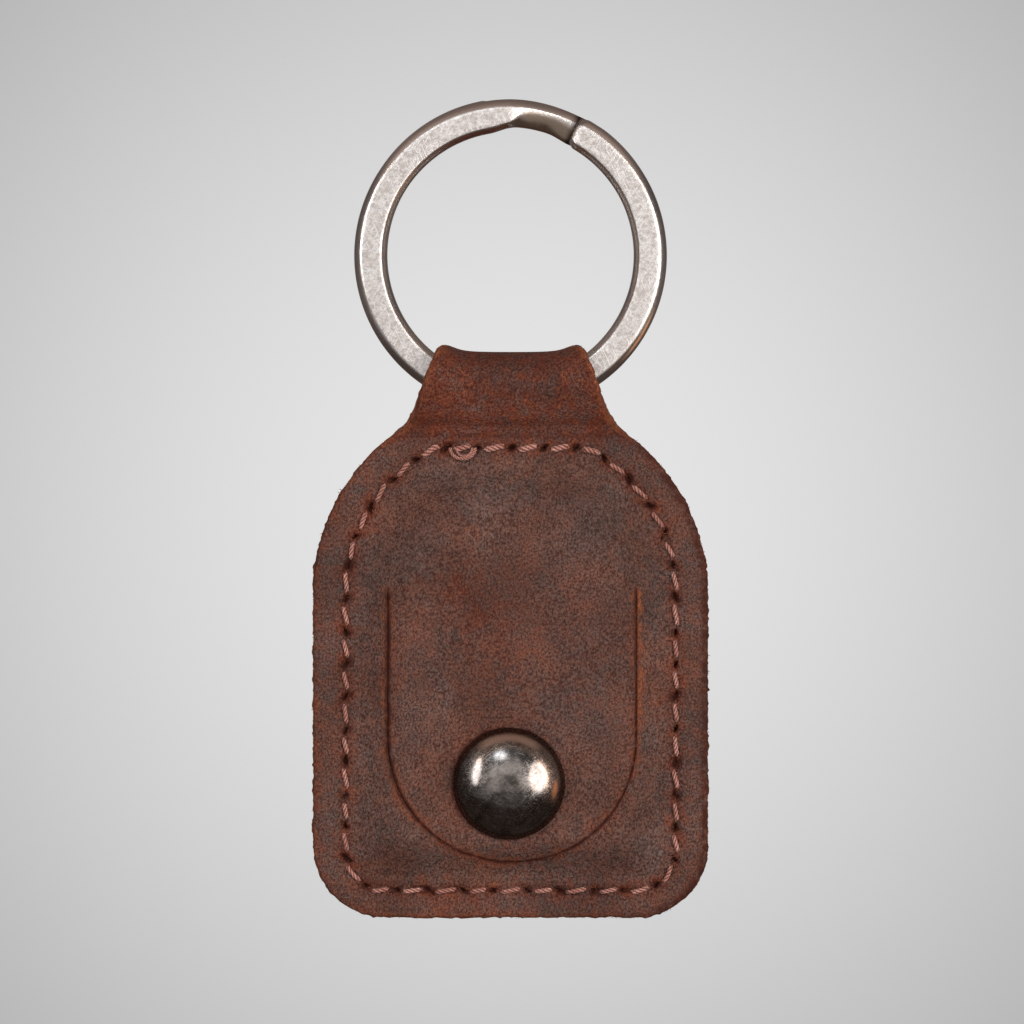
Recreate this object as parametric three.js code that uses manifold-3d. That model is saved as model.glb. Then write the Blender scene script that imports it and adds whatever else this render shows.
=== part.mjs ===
// Leather coin holder on a split ring: a strip folded over the ring, lock-stitched round the edge,
// with a tongue flap cut in the front panel and closed by a press stud.
// Millimetres, +Z up, the front faces -Y, the origin is where a hook bears inside the top of the ring.
import * as THREE from 'three';
import { mergeVertices } from 'three/addons/utils/BufferGeometryUtils.js';
import Module from 'manifold-3d';

const wasm = await Module();
wasm.setup();

// Split ring: a stock 30 mm ring of flat wire, wound almost two turns
const RING_OUT_R = 15;
const RING_WIRE_W = 3.15;
const RING_WIRE_T = 1.2;
const RING_TURN_GAP = 0.42;
const RING_EDGE = 0.42;
const RING_END = 27;
const RING_JOG_FROM = 355;
const RING_JOG_TO = 383;
const RING_SWEEP = 686;
const RING_PINCH = 0.2;
const RING_REAR_RISE = 0.22;

// Leather strip and its outline
const LEATHER_T = 1.3;
const BODY_HALF = 18.92;
const BODY_STRAIGHT = 30.9;
const CORNER_R = 6.9;
const DOME_UNDER = 1.42;
const NECK_HALF = 7.38;
const NECK_RISE = 2.36;
const NECK_FLARE = 0.365;
const NECK_MOST = 10.5;
const NECK_BLEND = 1.2;
const NECK_ROUND = 0.3;

// Fold round the ring
const LOOP_SAG = 0.35;
const LOOP_SLACK = 0.1;
const LOOP_TOP = 1.62;
const LOOP_CLEAR = 0.34;
const LOOP_BLEND = 0.5;
const LOOP_WIDEN = 0.4;
const FLARE_R = 3;
const SLIT_HALF = 0.15;
const FLATNESS = 0.012;

// Pocket between the panels
const POCKET_HALF = 2.1;
const RAMP_START = 0.6;
const RAMP_SIDE = 5;
const RAMP_END = 4.2;

// Seam
const STITCH_INSET = 3.1;
const SEAM_SAG = 1.74;
const STITCHES = 43;
const HOLE_LONG = 1.5;
const HOLE_WIDE = 0.86;
const THREAD_R = 0.22;
const THREAD_SEAT = 0.06;
const THREAD_DIP = 0.5;
const THREAD_LEG = 0.28;
const THREAD_APART = 0.2;
const THREAD_CREST = 0.04;

// Flap
const FLAP_HALF = 11.85;
const FLAP_HINGE = 0.96;
const FLAP_ARC = 13.7;
const FLAP_KERF = 0.3;

// Press stud, turned on an axis along Y
const SNAP_X = -0.15;
const SNAP_DROP = 17.96;
const SEAT = 0.05;
const CAP_R = 5.35;
const CAP_RISE = 2.6;
const CAP_RIM = 0.62;
const SHEET = 0.35;
const CAP_LIP_R = 3.9;
const POST_R = 1.6;
const POST_ROLL_R = 2.25;
const SOCKET_R = 4.7;
const SOCKET_FLOOR = 0.45;
const HEAD_R = 2.1;
const HEAD_CLEAR = 0.55;
const NECK_R = 1.7;
const SPRING_WIRE_R = 0.34;
const SPRING_CLEAR = 0.32;
const STUD_FLANGE_R = 4.5;
const STUD_FLANGE_T = 0.55;
const STUD_TIP = -1;
const SOCKET_MOUTH = 1.15;
const RIVET_R = 1.05;
const RIVET_HEAD_R = 4.75;
const RIVET_HEAD_T = 0.8;
const LOOSE = 0.3;
const TURN_STEPS = 26;

// Derived places
const RING_IN_R = RING_OUT_R - RING_WIRE_W;
const RING_Z = -RING_IN_R;
const LOOP_DROP = RING_IN_R + LOOP_SAG;
const LOOP_R = RING_WIRE_W + LOOP_SLACK;
const LOOP_Z = RING_Z - LOOP_DROP;
const DOME_Z = LOOP_Z - DOME_UNDER - BODY_HALF;
const BOTTOM_Z = DOME_Z - BODY_STRAIGHT;
const STITCH_HALF = BODY_HALF - STITCH_INSET;
const STITCH_CORNER = CORNER_R - STITCH_INSET;
const STITCH_BOTTOM_Z = BOTTOM_Z + STITCH_INSET;
const STITCH_TOP = STITCH_HALF - SEAM_SAG;
const STITCH_TOP_Z = DOME_Z + STITCH_TOP;
const HINGE_Z = DOME_Z + FLAP_HINGE;
const SNAP_Z = DOME_Z - SNAP_DROP;
const FRONT_IN = -POCKET_HALF;
const FRONT_OUT = FRONT_IN - LEATHER_T;
const BACK_IN = POCKET_HALF;
const BACK_OUT = BACK_IN + LEATHER_T;

const rad = THREE.MathUtils.degToRad;

function solid(geometry) {
  const bare = new THREE.BufferGeometry();
  bare.setAttribute('position', geometry.getAttribute('position'));
  bare.setIndex(geometry.index);
  const merged = mergeVertices(bare, 1e-5);
  const mesh = new wasm.Mesh({
    numProp: 3,
    vertProperties: merged.getAttribute('position').array,
    triVerts: new Uint32Array(merged.index.array),
  });
  return new wasm.Manifold(mesh);
}

function geometryOf(body) {
  const mesh = body.getMesh();
  const geometry = new THREE.BufferGeometry();
  geometry.setAttribute('position', new THREE.BufferAttribute(mesh.vertProperties, 3));
  geometry.setIndex(new THREE.BufferAttribute(mesh.triVerts, 1));
  return geometry;
}

// A closed skin over a row of equal rings of points, joined end to start or capped at both ends
function skin(rings, joined) {
  const count = rings[0].length;
  const points = rings.flat();
  const index = [];
  const quad = (a, b, c, d) => index.push(a, b, c, a, c, d);
  const spans = joined ? rings.length : rings.length - 1;
  for (let i = 0; i < spans; i += 1) {
    const here = i * count;
    const next = ((i + 1) % rings.length) * count;
    for (let j = 0; j < count; j += 1) {
      const k = (j + 1) % count;
      quad(here + j, next + j, next + k, here + k);
    }
  }
  if (!joined) {
    const last = (rings.length - 1) * count;
    for (let j = 0; j < count / 2 - 1; j += 1) {
      const near = count - 1 - j;
      quad(j, j + 1, near - 1, near);
      quad(last + j, last + near, last + near - 1, last + j + 1);
    }
  }
  const geometry = new THREE.BufferGeometry().setFromPoints(points);
  geometry.setIndex(index);
  return geometry;
}

// Outline of the folded strip, seen from the front

function domeHalf(z) {
  const up = Math.max(0, z - DOME_Z);
  return Math.sqrt(Math.max(0, BODY_HALF ** 2 - up ** 2));
}

function cornerHalf(z) {
  const down = THREE.MathUtils.clamp(BOTTOM_Z + CORNER_R - z, 0, CORNER_R);
  return BODY_HALF - CORNER_R + Math.sqrt(CORNER_R ** 2 - down ** 2);
}

function outlineHalf(z) {
  const neck = Math.min(NECK_MOST, NECK_HALF + NECK_FLARE * (LOOP_Z + NECK_RISE - z));
  const dome = domeHalf(z);
  const upper = (dome + neck + Math.hypot(dome - neck, NECK_BLEND)) / 2;
  return Math.min(upper, BODY_HALF, cornerHalf(z));
}

// Half the gap between the panels: a slit at the edge that rises to the flat of the pocket
function gapHalf(x, z) {
  const up = Math.max(0, z - DOME_Z);
  const side = STITCH_HALF - Math.hypot(x, up);
  const rise = (d, width) => THREE.MathUtils.smoothstep(d, RAMP_START, RAMP_START + width);
  const low = rise(z - STITCH_BOTTOM_Z, RAMP_END);
  const high = rise(STITCH_TOP_Z - z, RAMP_SIDE);
  return SLIT_HALF + (POCKET_HALF - SLIT_HALF) * rise(side, RAMP_SIDE) * low * high;
}

// Rows of the strip from the bottom of the front panel to the top of the fold. Each gives the half
// width and the inner and outer point, as y and z, at a place across the strip.

const flareRun = LOOP_R + FLARE_R;
const flareY = SLIT_HALF + FLARE_R;
const flareZ = LOOP_Z - Math.sqrt(flareRun ** 2 - flareY ** 2);
const flareTurn = Math.acos(flareY / flareRun);

function panelRow(z) {
  return {
    half: outlineHalf(z),
    inner: (x) => [-gapHalf(x, z), z],
    outer: (x) => [-gapHalf(x, z) - LEATHER_T, z],
  };
}

function flareRow(turn) {
  const at = (r) => [-flareY + r * Math.cos(turn), flareZ + r * Math.sin(turn)];
  const inner = at(FLARE_R);
  const outer = at(FLARE_R - LEATHER_T);
  return {
    half: outlineHalf(outer[1]),
    inner: () => inner,
    outer: () => outer,
  };
}

// Height of the fold above the loop's middle: it sags between its edges, which ride on the ring
function loopTop(x) {
  const ride = LOOP_DROP - Math.sqrt(RING_IN_R ** 2 - x ** 2) + LOOP_CLEAR;
  return (LOOP_TOP + ride + Math.hypot(LOOP_TOP - ride, LOOP_BLEND)) / 2;
}

function loopRow(turn) {
  const open = THREE.MathUtils.smoothstep(turn, -flareTurn, 0);
  const place = (x, thick) => {
    const tall = turn > 0 ? loopTop(x) : LOOP_R;
    const wide = LOOP_R + LOOP_WIDEN * open * (x / NECK_HALF) ** 2;
    return [-(wide + thick) * Math.cos(turn), LOOP_Z + (tall + thick) * Math.sin(turn)];
  };
  const crown = Math.max(0, turn / (Math.PI / 2) - 0.6) / 0.4;
  return {
    half: outlineHalf(place(NECK_HALF, LEATHER_T)[1]) - NECK_ROUND * crown ** 2,
    inner: (x) => place(x, 0),
    outer: (x) => place(x, LEATHER_T),
  };
}

function spread(from, to, steps) {
  return Array.from({ length: steps + 1 }, (_, i) => from + ((to - from) * i) / steps);
}

function frontRows() {
  const corner = spread(0, Math.PI / 2, 6).map((a) => BOTTOM_Z + CORNER_R * (1 - Math.cos(a)));
  const low = spread(RAMP_START, RAMP_START + RAMP_END, 4).map((d) => STITCH_BOTTOM_Z + d);
  const flat = spread(low[low.length - 1], DOME_Z, 3);
  const dome = spread(0, 42, 5).map((a) => DOME_Z + BODY_HALF * Math.sin(rad(a)));
  const high = spread(RAMP_START, RAMP_START + RAMP_SIDE, 4).map((d) => STITCH_TOP_Z - d);
  const neck = spread(STITCH_TOP_Z, flareZ, 2);
  const sorted = [...corner, ...low, ...flat, ...dome, ...high, ...neck].sort((a, b) => a - b);
  const apart = sorted.filter((z, i) => i === 0 || z - sorted[i - 1] > 0.3);
  const panel = apart.filter((z) => z < flareZ - 0.3).concat(flareZ).map(panelRow);
  const flare = spread(0, flareTurn, 5).slice(1).map(flareRow);
  const loop = spread(-flareTurn, Math.PI / 2, 11).slice(1).map(loopRow);
  return [...panel, ...flare, ...loop];
}

const flatShare = (STITCH_HALF - RAMP_START - RAMP_SIDE) / BODY_HALF;
const seamShare = STITCH_HALF / BODY_HALF;
const COLUMNS = [0, flatShare / 2, ...spread(flatShare, seamShare, 3), 1];
const ACROSS = [...COLUMNS.slice(1).map((s) => -s).reverse(), ...COLUMNS];

function stripSolid() {
  const front = frontRows();
  const ring = (row, side) => {
    const point = (place) => (s) => {
      const x = s * row.half;
      const [y, z] = place(x);
      return new THREE.Vector3(x, side * y, z);
    };
    const outer = ACROSS.map(point(row.outer)).reverse();
    const inner = ACROSS.map(point(row.inner));
    return [...outer, ...inner];
  };
  const rings = front.map((row) => ring(row, 1));
  const back = front.slice(0, -1).reverse().map((row) => ring(row, -1));
  return solid(skin([...rings, ...back], false));
}

// Seam line, as x and z, and the needle holes along it

function seamLine() {
  const reach = Math.sqrt(STITCH_HALF ** 2 - STITCH_TOP ** 2);
  const turn = Math.asin(STITCH_TOP / STITCH_HALF);
  const lowZ = STITCH_BOTTOM_Z + STITCH_CORNER;
  const lowX = STITCH_HALF - STITCH_CORNER;
  const path = new THREE.Path();
  path.moveTo(0, STITCH_TOP_Z);
  path.lineTo(reach, STITCH_TOP_Z);
  path.absarc(0, DOME_Z, STITCH_HALF, turn, 0, true);
  path.lineTo(STITCH_HALF, lowZ);
  path.absarc(lowX, lowZ, STITCH_CORNER, 0, -Math.PI / 2, true);
  path.lineTo(-lowX, STITCH_BOTTOM_Z);
  path.absarc(-lowX, lowZ, STITCH_CORNER, -Math.PI / 2, -Math.PI, true);
  path.lineTo(-STITCH_HALF, DOME_Z);
  path.absarc(0, DOME_Z, STITCH_HALF, Math.PI, Math.PI - turn, true);
  path.lineTo(0, STITCH_TOP_Z);
  return path;
}

const seam = seamLine();
const seamLength = seam.getLength();
const pitch = seamLength / STITCHES;

function seamAt(run) {
  const u = THREE.MathUtils.euclideanModulo(run / seamLength, 1);
  return { point: seam.getPointAt(u), along: seam.getTangentAt(u) };
}

// A prism along Y over an outline in x and z, between two depths
function prism(shape, fromY, toY) {
  const geometry = new THREE.ExtrudeGeometry(shape, { depth: toY - fromY, bevelEnabled: false });
  geometry.rotateX(Math.PI / 2);
  geometry.translate(0, toY, 0);
  return solid(geometry);
}

function needleHoles(fromY, toY) {
  const holes = [];
  const flat = HOLE_LONG / 2 - HOLE_WIDE / 2;
  const wide = HOLE_WIDE / 2;
  const outline = [
    [flat, -wide], [HOLE_LONG / 2, -wide / 2], [HOLE_LONG / 2, wide / 2], [flat, wide],
    [-flat, wide], [-HOLE_LONG / 2, wide / 2], [-HOLE_LONG / 2, -wide / 2], [-flat, -wide],
  ];
  for (let i = 0; i < STITCHES; i += 1) {
    const { point, along } = seamAt(i * pitch);
    const across = new THREE.Vector2(-along.y, along.x);
    const corners = outline.map(([a, b]) => (
      point.clone().addScaledVector(along, a).addScaledVector(across, b)
    ));
    holes.push(prism(new THREE.Shape(corners), fromY, toY));
  }
  return wasm.Manifold.union(holes);
}

// One thread of the seam: over the panel from hole to hole, and down into each hole and back
function threadSkin(side) {
  const surface = SLIT_HALF + LEATHER_T + THREAD_SEAT + THREAD_R;
  const deep = THREAD_APART + THREAD_R;
  const stops = [
    [THREAD_LEG, deep],
    [THREAD_DIP, surface],
    [pitch / 2, surface + THREAD_CREST],
    [pitch - THREAD_DIP, surface],
    [pitch - THREAD_LEG, deep],
  ];
  const centres = [];
  const sides = [];
  for (let i = 0; i < STITCHES; i += 1) {
    stops.forEach(([run, out]) => {
      const { point, along } = seamAt(i * pitch + run);
      centres.push(new THREE.Vector3(point.x, side * out, point.y));
      sides.push(new THREE.Vector3(-along.y, 0, along.x));
    });
  }
  const count = centres.length;
  const rings = centres.map((centre, i) => {
    const before = centre.clone().sub(centres[(i + count - 1) % count]).normalize();
    const after = centres[(i + 1) % count].clone().sub(centre).normalize();
    const ahead = before.clone().add(after).normalize();
    const across = sides[i].clone().addScaledVector(ahead, -sides[i].dot(ahead)).normalize();
    const up = new THREE.Vector3().crossVectors(ahead, across).divideScalar(ahead.dot(after));
    return spread(0, 360, 5).slice(0, -1).map((a) => (
      centre.clone()
        .addScaledVector(across, -THREAD_R * Math.cos(rad(a)))
        .addScaledVector(up, THREAD_R * Math.sin(rad(a)))
    ));
  });
  return skin(rings, true);
}

// Split ring: a chamfered flat wire carried round the ring's axis, which runs along Y
function ringSkin() {
  const middle = (RING_OUT_R + RING_IN_R) / 2;
  const layer = (RING_WIRE_T + RING_TURN_GAP) / 2;
  const w = RING_WIRE_W / 2;
  const t = RING_WIRE_T / 2;
  const section = [
    [w, t - RING_EDGE], [w - RING_EDGE, t], [-w + RING_EDGE, t], [-w, t - RING_EDGE],
    [-w, -t + RING_EDGE], [-w + RING_EDGE, -t], [w - RING_EDGE, -t], [w, -t + RING_EDGE],
  ];
  const rings = spread(RING_END, RING_END + RING_SWEEP, 78).map((turn) => {
    const jog = THREE.MathUtils.smoothstep(turn, RING_JOG_FROM, RING_JOG_TO);
    const slim = 1 - RING_PINCH * 4 * jog * (1 - jog);
    const y = layer * (2 * jog - 1);
    const rise = RING_REAR_RISE * jog * Math.cos(rad(turn / 2)) ** 2;
    return section.map(([r, a]) => new THREE.Vector3(
      (middle + r * slim) * Math.sin(rad(turn)),
      y + a,
      RING_Z + rise + (middle + r * slim) * Math.cos(rad(turn)),
    ));
  });
  let least = Infinity;
  const turnPoints = Math.round((270 / RING_SWEEP) * rings.length);
  rings.forEach((ring, i) => rings.slice(i + turnPoints).forEach((other) => {
    ring.forEach((a) => other.forEach((b) => {
      least = Math.min(least, a.distanceTo(b));
    }));
  }));
  console.log('split ring, least gap between turns in mm:', least.toFixed(3));
  return skin(rings, false);
}

// Turned pieces of the press stud: closed profiles of radius and y
function turned(profile) {
  const points = profile.map(([r, y]) => new THREE.Vector2(r, y));
  const geometry = new THREE.LatheGeometry(points.concat(points[0].clone()), TURN_STEPS);
  geometry.translate(SNAP_X, 0, SNAP_Z);
  return geometry;
}

function snapCap() {
  const seat = FRONT_OUT - SEAT;
  const lip = seat - SHEET;
  const rim = seat - CAP_RIM;
  const crown = seat - CAP_RISE;
  const dome = (r, top, turn) => [
    r * Math.cos(turn) ** 0.8,
    rim + (top - rim) * Math.sin(turn),
  ];
  const turns = spread(0, 90, 6).map(rad);
  const outside = turns.map((a) => dome(CAP_R, crown, a));
  outside[outside.length - 1][0] = 0;
  const inside = turns.map((a) => dome(CAP_R - SHEET, crown + SHEET, a)).reverse();
  inside[0][0] = 0;
  return turned([
    [CAP_LIP_R, seat],
    [CAP_R - SHEET, seat],
    ...outside,
    ...inside,
    [CAP_R - SHEET, lip],
    [CAP_LIP_R, lip],
  ].reverse());
}

const postTip = FRONT_IN + SEAT + SOCKET_FLOOR + SEAT;

function snapCapPost() {
  const disc = FRONT_OUT - SEAT - SHEET - SEAT;
  const bore = POST_R - SHEET;
  const top = disc - SHEET;
  const discR = CAP_R - SHEET - LOOSE;
  return turned([
    [0, top],
    [discR, top],
    [discR, disc],
    [POST_R, disc],
    [POST_R, postTip],
    [POST_ROLL_R, postTip],
    [POST_ROLL_R, postTip + SHEET],
    [bore, postTip + SHEET],
    [bore, disc],
    [0, disc],
  ]);
}

const springInner = NECK_R + SPRING_CLEAR;
const springMid = springInner + SPRING_WIRE_R;
const springY = SOCKET_MOUTH - 0.25 - 0.1 - SPRING_WIRE_R;
const socketBore = HEAD_R + HEAD_CLEAR;

function snapSocket() {
  const floor = FRONT_IN + SEAT;
  const seat = floor + SOCKET_FLOOR;
  const groove = springMid + SPRING_WIRE_R + LOOSE;
  const grooveHalf = SPRING_WIRE_R + 0.1;
  const edge = SHEET;
  return turned([
    [POST_R + SEAT, floor],
    [SOCKET_R - edge, floor],
    [SOCKET_R, floor + edge],
    [SOCKET_R - edge / 2, SOCKET_MOUTH - edge],
    [SOCKET_R - edge * 2, SOCKET_MOUTH],
    [socketBore, SOCKET_MOUTH],
    [socketBore, springY + grooveHalf],
    [groove, springY + grooveHalf],
    [groove, springY - grooveHalf],
    [socketBore, springY - grooveHalf],
    [socketBore, seat],
    [POST_R + SEAT, seat],
  ]);
}

function socketSpring() {
  const rings = spread(-155, 155, 20).map((turn) => (
    spread(0, 360, 6).slice(0, -1).map((a) => {
      const r = springMid + SPRING_WIRE_R * Math.cos(rad(a));
      return new THREE.Vector3(
        SNAP_X + r * Math.sin(rad(turn)),
        springY + SPRING_WIRE_R * Math.sin(rad(a)),
        SNAP_Z + r * Math.cos(rad(turn)),
      );
    })
  ));
  return skin(rings, false);
}

const headBack = springY - SPRING_WIRE_R - LOOSE;
const studBore = NECK_R - SHEET;
const headBore = HEAD_R - SHEET;
const headCut = headBack - SHEET / 2;

function snapStud() {
  const seat = BACK_IN - SEAT;
  const face = seat - STUD_FLANGE_T;
  return turned([
    [0, STUD_TIP],
    [HEAD_R * 0.6, STUD_TIP],
    [HEAD_R, STUD_TIP + (headBack - STUD_TIP) * 0.5],
    [HEAD_R, headBack - SHEET / 4],
    [NECK_R, headBack],
    [NECK_R, face],
    [STUD_FLANGE_R, face],
    [STUD_FLANGE_R, seat],
    [studBore, seat],
    [studBore, headCut],
    [headBore - SHEET / 2, headCut],
    [headBore - SHEET / 2, STUD_TIP + SHEET],
    [0, STUD_TIP + SHEET],
  ]);
}

function snapRivet() {
  const under = BACK_OUT + SEAT;
  const back = under + RIVET_HEAD_T;
  const tip = headCut;
  return turned([
    [0, tip],
    [RIVET_R, tip],
    [RIVET_R, under],
    [RIVET_HEAD_R, under],
    [RIVET_HEAD_R, under + RIVET_HEAD_T * 0.45],
    [RIVET_HEAD_R - RIVET_HEAD_T * 0.9, back],
    [0, back],
  ]);
}

// Cutting the flap, the needle holes and the stud's holes

function tongue(half) {
  const arc = DOME_Z - FLAP_ARC;
  const shape = new THREE.Shape();
  shape.moveTo(half, HINGE_Z);
  shape.lineTo(-half, HINGE_Z);
  shape.lineTo(-half, arc);
  shape.absarc(0, arc, half, Math.PI, Math.PI * 2, false);
  shape.closePath();
  return prism(shape, FRONT_OUT - 2, 0);
}

function boreAt(r, fromY, toY) {
  const geometry = new THREE.CylinderGeometry(r, r, toY - fromY, TURN_STEPS);
  geometry.translate(SNAP_X, (fromY + toY) / 2, SNAP_Z);
  return solid(geometry);
}

const far = BACK_OUT + 2;
const strip = stripSolid().simplify(FLATNESS);
const strap = strip
  .subtract(tongue(FLAP_HALF + FLAP_KERF / 2))
  .subtract(needleHoles(-far, far))
  .subtract(boreAt(RIVET_R + LOOSE, 0, far));
const flap = strip
  .intersect(tongue(FLAP_HALF - FLAP_KERF / 2))
  .subtract(boreAt(POST_R + LOOSE, -far, 0));

// Finishes

function finish(color, roughness, metalness) {
  return new THREE.MeshStandardMaterial({ color, roughness, metalness });
}

const leather = finish('#553a30', 0.62, 0);
const thread = finish('#a56a55', 0.8, 0);
const nickel = finish('#c9c6c2', 0.28, 1);
const gunmetal = finish('#4c4743', 0.16, 1);
const springSteel = finish('#b5b2ad', 0.3, 1);

const holder = new THREE.Group();
holder.name = 'coin_holder_keychain';

function add(name, geometry, material) {
  const mesh = new THREE.Mesh(geometry, material);
  mesh.name = name;
  holder.add(mesh);
}

add('split_ring', ringSkin(), nickel);
add('leather_strap', geometryOf(strap), leather);
add('flap', geometryOf(flap), leather);
add('needle_thread', threadSkin(-1), thread);
add('bobbin_thread', threadSkin(1), thread);
add('snap_cap', snapCap(), gunmetal);
add('snap_cap_post', snapCapPost(), gunmetal);
add('snap_socket', snapSocket(), gunmetal);
add('socket_spring', socketSpring(), springSteel);
add('snap_stud', snapStud(), gunmetal);
add('snap_rivet', snapRivet(), gunmetal);

export default holder;
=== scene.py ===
"""Looks of the leather coin holder: one strip of waxed leather folded over a split ring, sewn round
its edge, with a tongue flap cut in the front and closed by a press stud.
Shapes are worked out in millimetres in the frame of the part's source, front towards -Y, and put
into the meshes in metres."""
import math

import bmesh
import bpy
import numpy as np
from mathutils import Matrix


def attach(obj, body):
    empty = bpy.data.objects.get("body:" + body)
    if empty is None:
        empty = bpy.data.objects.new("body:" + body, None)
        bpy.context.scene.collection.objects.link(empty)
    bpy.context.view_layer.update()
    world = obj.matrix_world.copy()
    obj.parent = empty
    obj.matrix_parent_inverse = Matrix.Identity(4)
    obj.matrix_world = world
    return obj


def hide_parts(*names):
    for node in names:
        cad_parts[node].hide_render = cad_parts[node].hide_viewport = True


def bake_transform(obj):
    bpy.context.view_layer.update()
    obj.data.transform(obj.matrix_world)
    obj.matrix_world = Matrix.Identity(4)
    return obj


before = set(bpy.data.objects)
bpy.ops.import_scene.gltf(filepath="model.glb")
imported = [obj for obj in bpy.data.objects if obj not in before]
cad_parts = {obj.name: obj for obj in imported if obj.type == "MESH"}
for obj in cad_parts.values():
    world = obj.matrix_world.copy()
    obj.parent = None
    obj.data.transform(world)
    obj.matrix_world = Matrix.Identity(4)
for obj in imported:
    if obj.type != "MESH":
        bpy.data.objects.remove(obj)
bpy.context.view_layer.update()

MM = 0.001
SAME_POINT = 1e-5
TINY = 1e-6

# Seeds of the random draws, front before back
HOLE_RUN_SEED, HOLE_SIZE_SEED, HOLE_SKEW_SEED = 5, 6, 7
THREAD_SEED = 8
FRAY_LEFT, FRAY_RIGHT, FRAY_FOOT_SEEDS = (11, 12), (13, 14), (21, 22)
EDGE_SEED, EDGE_FIBRE_SEED, NECK_FIBRE_SEED = 31, 32, 35
HOLE_FIBRE_SEEDS = (41, 43)
STRIP_CUT_SEED, FLAP_CUT_SEED = 45, 47

# Split ring
RING_OUT_R = 15.0
RING_WIRE_W = 3.15
RING_WIRE_T = 1.35
RING_TURN_GAP = 0.12
RING_EDGE = 0.8
RING_EDGE_IN = 0.55
RING_WALL = 0.1
RING_EDGE_FULL = 1.12
RING_EDGE_RUBBED = 1.3
RING_END = 27.0
RING_JOG_FROM = 358.0
RING_JOG_TO = 386.0
RING_SWEEP = 686.0
RING_PINCH = 0.46
RING_PINCH_FROM = 350.0
RING_PINCH_RUN = 13.0
RING_PINCH_PAST = 30.0
RING_WEDGE_FROM = 359.0
RING_WEDGE_RUN = 9.0
RING_FILL_FROM = 376.0
RING_FILL = 0.5
RING_REAR_RISE = 0.22
RING_END_ROUND = 0.75
RING_END_FULL = 1.5
RING_BEVEL = 1.35
RING_BEVEL_FULL = 1.3
RING_STEPS = 560
RING_CURVE_POINTS = 13
RING_FLAT_POINTS = 8
RING_END_STEPS = (0, 0.02, 0.06, 0.13, 0.22, 0.35, 0.55, RING_END_ROUND)
RING_END_THIN = 0.6
RING_RISE_EARLY = 2.0
RING_RISE_RUN = 14.0
RING_RUB = (0.2, 0.45)
RING_POLISH = (0.04, 0.3)
RING_SPLIT_SHADE = 0.1
RING_SLOT_SHADE = 0.3
RING_SLOT_TURN = 0.6

# Leather strip and its outline
LEATHER_T = 1.3
BODY_HALF = 18.92
BODY_STRAIGHT = 30.9
CORNER_R = 6.9
DOME_UNDER = 1.42
NECK_HALF = 7.38
NECK_RISE = 2.36
NECK_FLARE = 0.365
NECK_MOST = 10.5
NECK_BLEND = 1.2
NECK_ROUND = 1.0
NECK_ROUND_FROM = 0.6
SLOPE_STEP = 0.05

# Fold round the ring
LOOP_SAG = 0.35
LOOP_SLACK = 0.1
LOOP_TOP = 1.62
LOOP_CLEAR = 0.34
LOOP_BLEND = 0.5
LOOP_WIDEN = 0.4
FLARE_R = 3.0
SLIT_HALF = 0.15
SLIT_SEEN = 0.008
SLIT_SHUT = (0, 1.5)
SLIT_EASE = 0.4

# Pocket between the panels
POCKET_HALF = 2.1
RAMP_START = 0.6
RAMP_SIDE = 5.0
RAMP_END = 4.2

# Seam
STITCH_INSET = 3.1
FOOT_INSET = 2.57
FOOT_EASE = (10.0, 10.0)
SEAM_SAG = 1.74
STITCHES = 43
HOLE_LONG = 0.5
HOLE_WIDE = 0.29
HOLE_DEEP = 0.7
HOLE_WANDER = 0.14
HOLE_SIZES = (0.62, 1.2)
HOLE_LEAN = 0.7
GROOVE_DEEP = 0.12
GROOVE_WIDE = 0.55
THREAD_R = 0.215
THREAD_TOP = 1.32
THREAD_SINK = 0.08
THREAD_DEEP = 0.5
THREAD_SLANT = 0.12
THREAD_DIP = 0.46
THREAD_CLIMB = 0.55
THREAD_THIN = 0.3
THREAD_TWIST = 1.35
THREAD_UNEVEN = (-0.07, 0.04)
THREAD_ASLANT = (0.5, 1.4)
THREAD_BOW = 0.05
THREAD_STEPS = 26
TOP_ROW = (-2.5, 2.0)
PLY_OFF = 0.536
PLY_R = 0.5
PLY_POINTS = 21
SLACK_POINTS = 15
SLACK_STEPS = 60
SLACK_TURNS = 4
SLACK_ROUND = 0.9
SLACK_OFF = 0.1
SLACK_LIFT = 0.28
SLACK_STRANDS = ((0.8, 1.05, 0.17, 0.1), (0.5, 0.8, 0.12, 0.25))

# Flap
FLAP_HALF = 11.85
FLAP_HINGE = 0.96
FLAP_ARC = 13.7
CUT_HALF = 0.012
CUT_ROUND_LEFT = 0.15
CUT_ROUND_RIGHT = 0.1
CUT_FADE = 1.2
FLAP_X = 0.14
FLAP_SHIFT = 0.005
FLAP_COLUMNS = 86
FLAP_INNER = 0.945
FLAP_RIM = np.array([1, 0.9975, 0.992, 0.983, 0.965])

# Leather finish
EDGE_ROUND = 0.34
FRAY = 0.035
FRAY_SPAN = 140.0
FRAY_KNOTS = 700
FRAY_FOOT = 1.2
TUFTS = 200
TUFT_TALL = (0.02, 0.17)
TUFT_SHARE = (0.2, 1.0)
TUFT_BROAD = (0.12, 0.3)
WALL_LUMP = 0.02
WALL_WAVES = (37, 9)
SWAY = 0.05
SWAY_EASE = 2.0
EDGE_FIBRES = 850
NECK_FIBRES = 260
CUT_FIBRES = 220
HOLE_FIBRES = 9
FIBRE_ALONG = np.array([0, 0.2, 0.65, 1.0])
FIBRE_TAPER = np.array([0, 1, 0.75, 0])
FIBRE_R = (0.018, 0.045)
FIBRE_BEND = (0.3, 0.9)
FIBRE_ROOT = 0.06
FIBRE_SIDES = 3
FIBRE_STEP = 0.2
EDGE_FIBRE_DEEP = (0.05, 1.0)
EDGE_FIBRE_LOW = 1.5
EDGE_FIBRE_LONG = (0.05, 0.13)
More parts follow.
